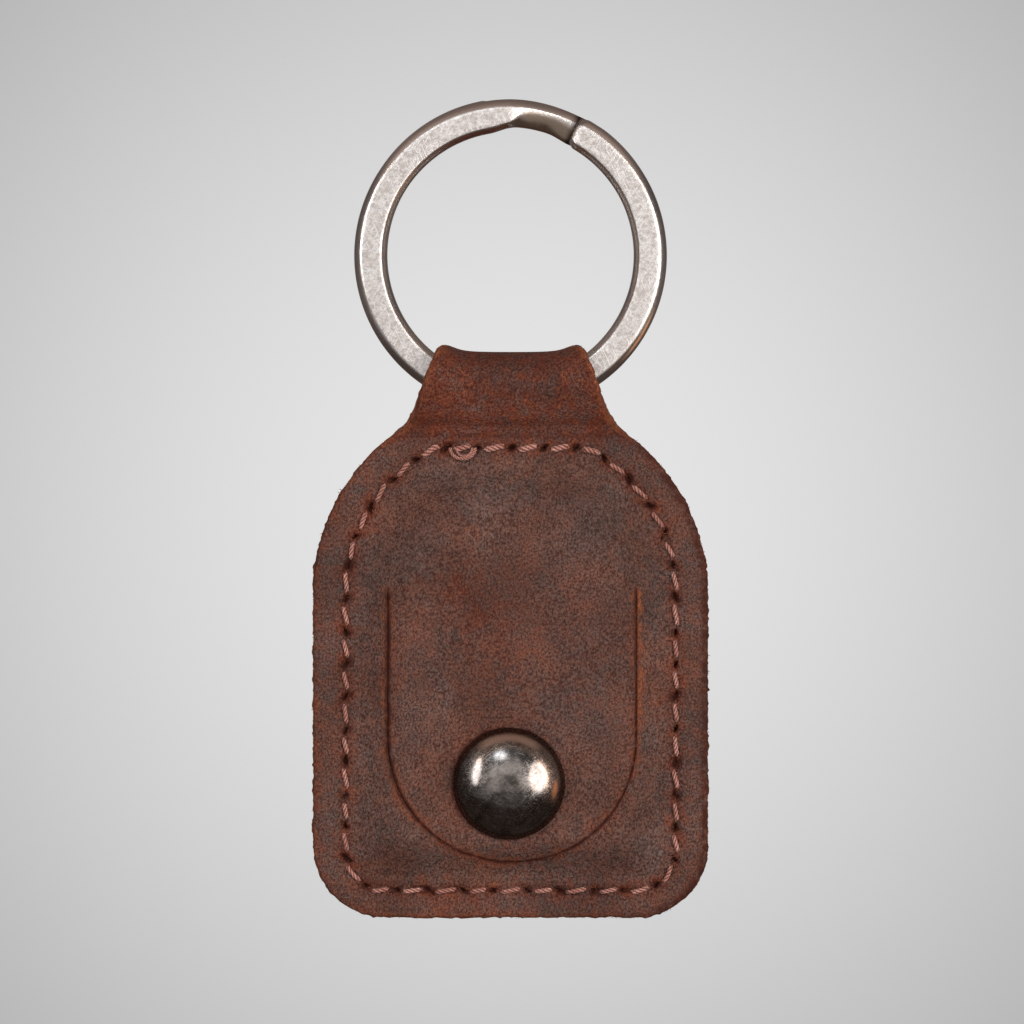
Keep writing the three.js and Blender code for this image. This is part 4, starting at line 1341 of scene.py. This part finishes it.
NICKEL_WARM_REFLECTION = linear(205, 166, 130)
NICKEL_SPLIT_SHADE = linear(74, 56, 47)
GUN_DARK = linear(90, 82, 78)
GUN_LIGHT = linear(148, 139, 134)
GUN_RUBBED = linear(40, 35, 32)
GUN_UPPER_REFLECTION = linear(190, 161, 145)
GUN_RIM_SHADE = linear(62, 50, 44)
GUN_SCRATCH = linear(190, 176, 166)
STEEL_DARK = linear(165, 162, 158)
STEEL_LIGHT = linear(196, 192, 186)
CARD_LOW = linear(84, 73, 67)
CARD_HIGH = linear(121, 113, 112)
CARD_GLOW = linear(255, 228, 213)
FLOOR_GREY = linear(150, 150, 151)
GRAIN_DARK = (0.5, 0.335, 0.26, 1.0)
GRAIN_LIGHT = (1.9, 2.2, 2.36, 1.0)
PULL_AND_LIGHT = (1.5, 1.55, 1.6, 1.0)


def waxed_leather():
    """Waxed, pulled-up hide: dark grey-brown with soft rusty clouds and a fine fibrous grain, deep
    red brown with orange specks where it is worn at edges, holes, cuts and fold, raw brown at cut
    edges, suede inside; painted shade in the needle holes, along the tongue's cut and round the
    cap, darker edges, and paler where bent at the waist, which is partly painted light."""
    f = Finish("waxed_leather", Specular_IOR_Level=0.22)
    cloud = f.noise(7.0, 3.0, 0.55, distortion=0.4)
    patch = f.noise(1.3, 3.0, 0.6)
    mottle = f.noise(0.55, 2.0, 0.55)
    grain = f.noise(0.24, 3.0, 0.75)
    fibre = f.noise(0.12, 2.0, 0.7, where=f.stretched(2.2, 0.3))
    rusty = f.add(f.ramp(cloud, 0.32, 0.68, 0.14, 0.58), f.ramp(patch, 0.35, 0.68, -0.1, 0.16))
    rusty = f.add(rusty, f.ramp(mottle, 0.3, 0.7, -0.06, 0.06), clamp=True)
    colour = f.mix(rusty, HIDE_GREY, HIDE_RUST)
    worn = f.times(f.mark("wear"), f.ramp(patch, 0.32, 0.66, 0.55, 1.3))
    worn = f.add(worn, f.ramp(patch, 0.3, 0.7, -0.12, 0.1))
    worn = f.add(f.times(worn, 0.85), f.ramp(mottle, 0.3, 0.7, -0.12, 0.12), clamp=True)
    colour = f.mix(worn, colour, HIDE_WORN)
    orange = f.times(f.ramp(mottle, 0.5, 0.7), f.add(f.times(worn, 0.22), 0.05))
    colour = f.mix(orange, colour, HIDE_ORANGE)
    rough = f.add(f.ramp(grain, 0.26, 0.74, -0.5, 0.5), f.ramp(fibre, 0.26, 0.74, -0.35, 0.35))
    rough = f.add(f.add(rough, 0.4), f.ramp(patch, 0.3, 0.7, -0.12, 0.12), clamp=True)
    colour = f.mix(1.0, colour, f.mix(rough, GRAIN_DARK, GRAIN_LIGHT), "MULTIPLY")
    # Paler where bent: pulled-up leather, and painted light on the shaded waist.
    colour = f.mix(f.mark("pull_and_light"), colour, PULL_AND_LIGHT, "MULTIPLY")
    colour = f.mix(f.ramp(f.noise(4.6, 2.0, 0.5), 0.34, 0.62, 0.16, 0), colour, HIDE_SHADE)
    colour = f.mix(1.0, colour, f.ramp(f.noise(9.0, 2.0, 0.5), 0.3, 0.7, 0.84, 1.13), "MULTIPLY")
    raw = f.mix(f.ramp(fibre, 0.3, 0.7), RAW_DARK, RAW_LIGHT)
    frayed = f.times(f.ramp(mottle, 0.35, 0.65, 0.5, 1.5), f.ramp(patch, 0.38, 0.62, 0.4, 1.5))
    frayed = f.times(f.mark("raw"), frayed, clamp=True)
    colour = f.mix(frayed, colour, raw)
    suede = f.mix(f.ramp(grain, 0.3, 0.7), SUEDE_DARK, SUEDE_LIGHT)
    colour = f.mix(f.mark("flesh"), colour, suede)
    # Painted shade in the needle holes, along the tongue's cut and round the cap, with stains round
    # the holes and darker edges and fold.
    ragged = f.times(f.ramp(mottle, 0.3, 0.7, 0.6, 1.4), f.ramp(grain, 0.3, 0.7, 0.7, 1.25))
    shade_and_stain = f.ramp(f.times(f.mark("shade_and_stain"), ragged), 0.2, 0.85)
    colour = f.mix(shade_and_stain, colour, HIDE_STAIN_SHADE)
    height = f.add(f.times(grain, 0.6), f.times(fibre, 0.4))
    normal = f.bump(patch, 0.05, 0.5)
    normal = f.bump(height, 0.12, 0.75, normal)
    gloss = f.ramp(f.calc("SUBTRACT", grain, f.times(worn, 0.12)), 0.3, 0.65, 0.82, 0.6)
    return f.done(Base_Color=colour, Roughness=gloss, Normal=normal)


def waxed_thread():
    """Waxed sewing thread: dusty salmon plies, with painted shade in the furrows between them and,
    darker still, where it dips into the holes.
    """
    f = Finish("waxed_thread", Specular_IOR_Level=0.35, Sheen_Weight=0.25, Sheen_Roughness=0.5)
    fluff = f.noise(0.12, 2.0, 0.6)
    tone = f.noise(2.2, 2.0, 0.5)
    colour = f.mix(f.ramp(fluff, 0.3, 0.7), THREAD_DARK, THREAD_LIGHT)
    colour = f.mix(f.ramp(tone, 0.35, 0.65, 0, 0.55), colour, THREAD_BROWN)
    # Painted shade in the furrows between the plies and where the thread dips into the holes.
    colour = f.mix(f.ramp(f.mark("ply"), 0.6, 1.0, 1, 0), colour, THREAD_FURROW_SHADE)
    colour = f.mix(f.ramp(f.mark("over"), 0.35, 0.9, 1, 0), colour, THREAD_HOLE_SHADE)
    normal = f.bump(fluff, 0.05, 0.6)
    return f.done(Base_Color=colour, Roughness=f.ramp(fluff, 0.3, 0.7, 0.8, 0.6), Normal=normal)


def satin_nickel():
    """Tumbled nickel plate: satin, speckled, with fine scratches that run in several directions,
    painted shade at the split and a painted warm reflection on the jog's bevel.
    """
    f = Finish("satin_nickel", Metallic=1.0)
    speckle = f.noise(0.5, 5.0, 0.8)
    pepper = f.noise(0.16, 2.0, 0.6)
    polish = f.mark("polish")
    scratch = f.scratches(0.1, 22, ((0.55, 0.59), (-0.4, 0.6), (-1.2, 0.62), (1.35, 0.62)))
    colour = f.mix(f.ramp(speckle, 0.4, 0.6), NICKEL_DARK, NICKEL_LIGHT)
    colour = f.mix(f.ramp(pepper, 0.34, 0.66, 0.0, 0.5), colour, NICKEL_PEPPER)
    colour = f.mix(f.times(scratch, 0.7), colour, NICKEL_SCRATCH)
    colour = f.mix(f.times(polish, 0.8), colour, NICKEL_RUBBED)
    # Painted warm reflection on the jog.
    colour = f.mix(f.times(f.mark("warm_reflection"), 0.6), colour, NICKEL_WARM_REFLECTION)
    # Painted shade at the split.
    colour = f.mix(f.mark("split_shade"), colour, NICKEL_SPLIT_SHADE)
    rough = f.add(f.ramp(speckle, 0.3, 0.7, 0.44, 0.36), f.times(scratch, -0.06))
    rough = f.calc("SUBTRACT", rough, f.times(polish, 0.2))
    normal = f.bump(f.add(f.times(pepper, 0.6), f.times(scratch, 0.6)), 0.012,
                    f.calc("SUBTRACT", 0.5, f.times(polish, 0.42)))
    return f.done(Base_Color=colour, Roughness=rough, Normal=normal)


def gunmetal_plate(name, dark, light, rough):
    """Gunmetal plate: a dark mirror with hazy rubbed spots and swirls of fine scratches, a painted
    warm reflection on the upper side of the cap and painted shade on its brim.
    """
    f = Finish(name, Metallic=1.0)
    haze = f.noise(1.4, 4.0, 0.65, distortion=0.8)
    rub = f.noise(0.3, 4.0, 0.7)
    scratch = f.scratches(0.08, 20, ((0.9, 0.595), (-0.5, 0.615), (1.9, 0.605)), distortion=0.3)
    colour = f.mix(f.ramp(haze, 0.25, 0.75), dark, light)
    colour = f.mix(f.ramp(rub, 0.5, 0.68, 0, 0.5), colour, GUN_RUBBED)
    side, _, up = f.node("ShaderNodeSeparateXYZ", Vector=f.where).outputs
    side, up = f.calc("SUBTRACT", side, SNAP_X * MM), f.calc("SUBTRACT", up, SNAP_Z * MM)
    away = f.calc("SQRT", f.squares(side, up))
    upper = f.add(f.times(up, 0.8), f.times(side, 0.45))

    def on_cap(place, low, high, *to):
        return f.ramp(place, low * CAP_R * MM, high * CAP_R * MM, *to)

    # Painted warm reflection in a band round the upper side of the cap.
    upper_reflection = f.times(on_cap(away, 0.6, 0.7, 0, 0.9), on_cap(upper, -0.1, 0.45))
    colour = f.mix(upper_reflection, colour, GUN_UPPER_REFLECTION)
    # Painted shade on the cap's brim.
    colour = f.mix(on_cap(away, 0.88, 0.93, 0, 0.85), colour, GUN_RIM_SHADE)
    colour = f.mix(f.times(scratch, 0.3), colour, GUN_SCRATCH)
    gloss = f.add(f.ramp(haze, 0.3, 0.7, rough, rough + 0.08), f.times(scratch, 0.15))
    gloss = f.add(gloss, f.ramp(rub, 0.5, 0.75, 0, 0.08))
    normal = f.bump(f.add(f.times(rub, 0.15), f.times(scratch, 0.2)), 0.006, 0.4)
    return f.done(Base_Color=colour, Roughness=gloss, Normal=normal)


LEATHER = waxed_leather()
THREAD = waxed_thread()
NICKEL = satin_nickel()
GUNMETAL = gunmetal_plate("gunmetal_plate", GUN_DARK, GUN_LIGHT, 0.115)
SPRING_STEEL = gunmetal_plate("spring_steel", STEEL_DARK, STEEL_LIGHT, 0.24)


# Pieces

PLY_MARKS = ("ply", "over")
PLY_CREASE = 70
RING_MARKS = ("split_shade", "polish", "warm_reflection")

strip = leather_bands() + outline_fibres()
strip += hole_fibres(-1, HOLE_FIBRES, HOLE_FIBRE_SEEDS[0])
strip += hole_fibres(1, HOLE_FIBRES // 2, HOLE_FIBRE_SEEDS[1])
strip += cut_fibres(CUT_FIBRES, CUT_OUT, 1, 0, STRIP_CUT_SEED)
sew("leather_strip", strip, "pouch", ["leather_strap"], LEATHER, MARKS)
tongue = flap_bands() + cut_fibres(CUT_FIBRES, CUT_IN, -1, FLAP_SHIFT, FLAP_CUT_SEED)
tongue = sew("leather_flap", tongue, None, ["flap"], LEATHER, MARKS)
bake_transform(tongue)
needle = thread_bands(-1)
for strand in SLACK_STRANDS:
    needle += slack_strand(*strand)
sew("front_thread", needle, "pouch", ["needle_thread"], THREAD, PLY_MARKS, PLY_CREASE)
sew("back_thread", thread_bands(1), "pouch", ["bobbin_thread"], THREAD, PLY_MARKS,
    PLY_CREASE)
sew("wound_ring", ring_bands(), "ring", ["split_ring"], NICKEL, RING_MARKS)
sew("domed_cap", cap_bands(), "flap", ["snap_cap"], GUNMETAL)
sew("cup_socket", socket_bands(), "flap", ["snap_socket"], GUNMETAL)
sew("wire_spring", spring_bands(), "flap", ["socket_spring"], SPRING_STEEL)
sew("hollow_stud", stud_bands(), "pouch", ["snap_stud"], GUNMETAL)
sew("back_rivet", rivet_bands(), "pouch", ["snap_rivet"], GUNMETAL)
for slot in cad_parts["snap_cap_post"].material_slots:
    slot.material = GUNMETAL


# Stage: floor, light and camera

FLOOR_Z = -200.0
FLOOR_R = 900.0
FLOOR_FADE = (0.6, 0.97)
FLOOR_RINGS = 24
STAGE_TURNS = 97
SURROUND_R = 140.0
SURROUND_FRONT = 60.0
SURROUND_LOW = 165.0
SURROUND_TOP = 112.0
SURROUND_BACK = 60.0
SURROUND_ROWS = 9
SURROUND_LOW_FROM = (0.2, 0.7)
SURROUND_TOP_FROM = (0.5, 0.4)
# Heights and depths on the card as shares of its radius, from and to, and what they give there
CARD_RISE = (-0.6, 0.0)
CARD_ABOVE = (0.55, 0.85)
CARD_FRONT = (-0.66, -0.52, 0.0, 0.31)
CARD_REAR = (-0.34, -0.04, 1.0, 0.3)
EMBER_SIDE = (0.0, 0.5)
EMBER_FADE = (0.1, 1.0, 1, 0)
EMBER_Y, EMBER_Z = -35.0, -84.0
EMBER_WIDE, EMBER_TALL = 20.0, 32.0
EMBER_LIGHT = 0.8
EMBER_COLOUR = (1.0, 0.42, 0.12, 1.0)
VIEW_X, VIEW_Z = 0.14, -36.45
VIEW_DISTANCE = 450.0
VIEW_PLANE_Y = -1.4
VIEW_WIDTH = 98.1
SENSOR = 36.0
CLIP = (0.01, 20)
BACK_GLOW = (0.0, 14.0, 0.788, 0.345)
SIDE_FALL = (14.0, 50.0, 0.0, -0.185)
FRONT_GLOW = (138.0, 162.0, 0.0, 1.25)
LENS_SHADE = (159.0, 170.0, 0.0, -0.95)
SOFTBOX_FAR = 1200.0
# Name, azimuth, height, width, length, brightness, colour, and whether metal mirrors it
SOFTBOXES = (
    ("window", 42.5, 6, 600, 880, 6.7, (1.0, 0.98, 0.95), True),
    ("strip", -49, 14.5, 250, 760, 7.4, (0.98, 0.98, 1.0), True),
    ("top", -14.5, 38, 340, 250, 8.0, (0.8, 0.91, 1.0), True),
    ("bounce", 36, -32, 600, 480, 0.9, (1.0, 0.76, 0.52), True),
    ("behind", 205, 24, 800, 600, 6.0, (1.0, 1.0, 1.0), False),
)


def stage_sheet(name, grid, material):
    """A sheet of the stage from one grid of points, which isn't part of the object."""
    mesh = bpy.data.meshes.new(name)
    n, m = grid.shape[:2]
    i = np.arange(n * m).reshape(n, m)
    quads = np.stack([i[:-1, :-1], i[1:, :-1], i[1:, 1:], i[:-1, 1:]], -1).reshape(-1, 4)
    mesh.from_pydata((grid.reshape(-1, 3) * MM).tolist(), [], quads.tolist())
    mesh.materials.append(material)
    sheet = bpy.data.objects.new(name, mesh)
    bpy.context.scene.collection.objects.link(sheet)


def floor():
    """Round floor far below the hanging object, faded out towards its rim."""
    ring = np.linspace(0, 1, FLOOR_RINGS)[:, None]
    turn = np.linspace(0, 2 * math.pi, STAGE_TURNS)[None]
    grid = np.stack([FLOOR_R * ring * np.sin(turn), FLOOR_R * ring * np.cos(turn),
                     FLOOR_Z + 0 * ring * turn], -1)
    f = Finish("pale_floor", Roughness=0.9)
    side, deep, _ = f.node("ShaderNodeSeparateXYZ", Vector=f.where).outputs
    far = f.calc("SQRT", f.squares(side, deep))
    start, stop = (share * FLOOR_R * MM for share in FLOOR_FADE)
    f.done(Base_Color=FLOOR_GREY, Alpha=f.ramp(far, start, stop, 1, 0))
    stage_sheet("floor", grid, f.material)


def dark_surround():
    """Dark card bent round the object, out of the picture, that gives the metal its dark edges: a
    tube along Y, longer towards the camera above and below the object, glowing faintly at the top
    and in an orange spot low on the right, which stand in for reflected light in the metal. It
    shows in reflections only."""
    turn = np.linspace(0, 2 * math.pi, STAGE_TURNS)[None]
    low = smooth(-np.cos(turn), *SURROUND_LOW_FROM)
    high = smooth(np.cos(turn), *SURROUND_TOP_FROM)
    front = -SURROUND_FRONT - (SURROUND_LOW - SURROUND_FRONT) * low
    front = front - (SURROUND_TOP - SURROUND_FRONT) * high
    y = front + (SURROUND_BACK - front) * np.linspace(0, 1, SURROUND_ROWS)[:, None]
    grid = np.stack([SURROUND_R * np.sin(turn) + 0 * y, y,
                     VIEW_Z + SURROUND_R * np.cos(turn) + 0 * y], -1)
    f = Finish("dark_card", Roughness=0.9)
    side, deep, up = f.node("ShaderNodeSeparateXYZ", Vector=f.where).outputs
    height = f.calc("SUBTRACT", up, VIEW_Z * MM)

    def on_card(place, low, high, *to):
        return f.ramp(place, low * SURROUND_R * MM, high * SURROUND_R * MM, *to)

    shade = f.mix(on_card(height, *CARD_RISE), CARD_LOW, CARD_HIGH)
    above = on_card(height, *CARD_ABOVE)
    lit = f.times(on_card(deep, *CARD_FRONT), on_card(deep, *CARD_REAR))
    off_y = f.calc("DIVIDE", f.calc("SUBTRACT", deep, EMBER_Y * MM), EMBER_WIDE * MM)
    off_z = f.calc("DIVIDE", f.calc("SUBTRACT", up, EMBER_Z * MM), EMBER_TALL * MM)
    ember = f.times(f.ramp(f.squares(off_y, off_z), *EMBER_FADE), on_card(side, *EMBER_SIDE))
    glow = f.add(f.times(above, lit), f.times(ember, EMBER_LIGHT))
    f.done(Emission_Color=f.mix(ember, CARD_GLOW, EMBER_COLOUR), Emission_Strength=glow)
    stage_sheet("dark_surround", grid, f.done(Base_Color=shade))
    card = bpy.data.objects["dark_surround"]
    card.visible_camera = card.visible_diffuse = False
    card.visible_shadow = card.visible_transmission = False


def softbox(name, azimuth, height, wide, tall, bright, colour, mirrored):
    """Soft oval light at a direction from the object, turned to face it, of a given brightness over
    its whole face, shown in the metal or not. Azimuth 0 is the camera's side."""
    lamp = bpy.data.lights.new(name, "AREA")
    lamp.shape = "ELLIPSE"
    lamp.size, lamp.size_y = wide * MM, tall * MM
    lamp.energy = bright * math.pi * lamp.size * lamp.size_y * math.pi / 4
    lamp.color = colour
    made = bpy.data.objects.new(name, lamp)
    a, e = math.radians(azimuth), math.radians(height)
    out = np.array([math.sin(a) * math.cos(e), -math.cos(a) * math.cos(e), math.sin(e)])
    made.location = (np.array([0, 0, SNAP_Z]) + SOFTBOX_FAR * out) * MM
    made.rotation_euler = (math.pi / 2 - e, 0, a)
    made.visible_glossy = mirrored
    bpy.context.scene.collection.objects.link(made)


def studio():
    """Plain grey surround that is paler behind the object, where the picture shows it, and behind
    the camera, with three soft boxes, a faint glow from below and a lamp for the back."""
    world = bpy.data.worlds.new("studio")
    world.use_nodes = True
    tree = world.node_tree
    where = tree.nodes.new("ShaderNodeTexCoord").outputs["Generated"]
    dot = tree.nodes.new("ShaderNodeVectorMath")
    dot.operation = "DOT_PRODUCT"
    tree.links.new(where, dot.inputs[0])
    dot.inputs[1].default_value = (0, 1, 0)
    angle = tree.nodes.new("ShaderNodeMath")
    angle.operation = "ARCCOSINE"
    tree.links.new(dot.outputs["Value"], angle.inputs[0])
    level = None
    for start, stop, low, high in (BACK_GLOW, SIDE_FALL, FRONT_GLOW, LENS_SHADE):
        glow = tree.nodes.new("ShaderNodeMapRange")
        glow.interpolation_type = "SMOOTHSTEP"
        for name, number in zip(RANGE, (math.radians(start), math.radians(stop), low, high)):
            glow.inputs[name].default_value = number
        tree.links.new(angle.outputs[0], glow.inputs["Value"])
        total = tree.nodes.new("ShaderNodeMath")
        tree.links.new(glow.outputs[0], total.inputs[0])
        total.inputs[1].default_value = 0
        if level is not None:
            tree.links.new(level, total.inputs[1])
        level = total.outputs[0]
    tree.links.new(level, tree.nodes["Background"].inputs["Color"])
    bpy.context.scene.world = world
    for box in SOFTBOXES:
        softbox(*box)


def camera():
    """Camera square to the front, its frame as wide as the photograph's at the leather's edge."""
    lens = bpy.data.cameras.new("camera")
    lens.sensor_width = SENSOR
    lens.lens = SENSOR * VIEW_DISTANCE / VIEW_WIDTH
    lens.clip_start, lens.clip_end = CLIP
    made = bpy.data.objects.new("camera", lens)
    made.location = (VIEW_X * MM, (VIEW_PLANE_Y - VIEW_DISTANCE) * MM, VIEW_Z * MM)
    made.rotation_euler = (math.pi / 2, 0, 0)
    bpy.context.scene.collection.objects.link(made)
    bpy.context.scene.camera = made


floor()
dark_surround()
studio()
camera()
bpy.context.scene.view_settings.view_transform = "Standard"
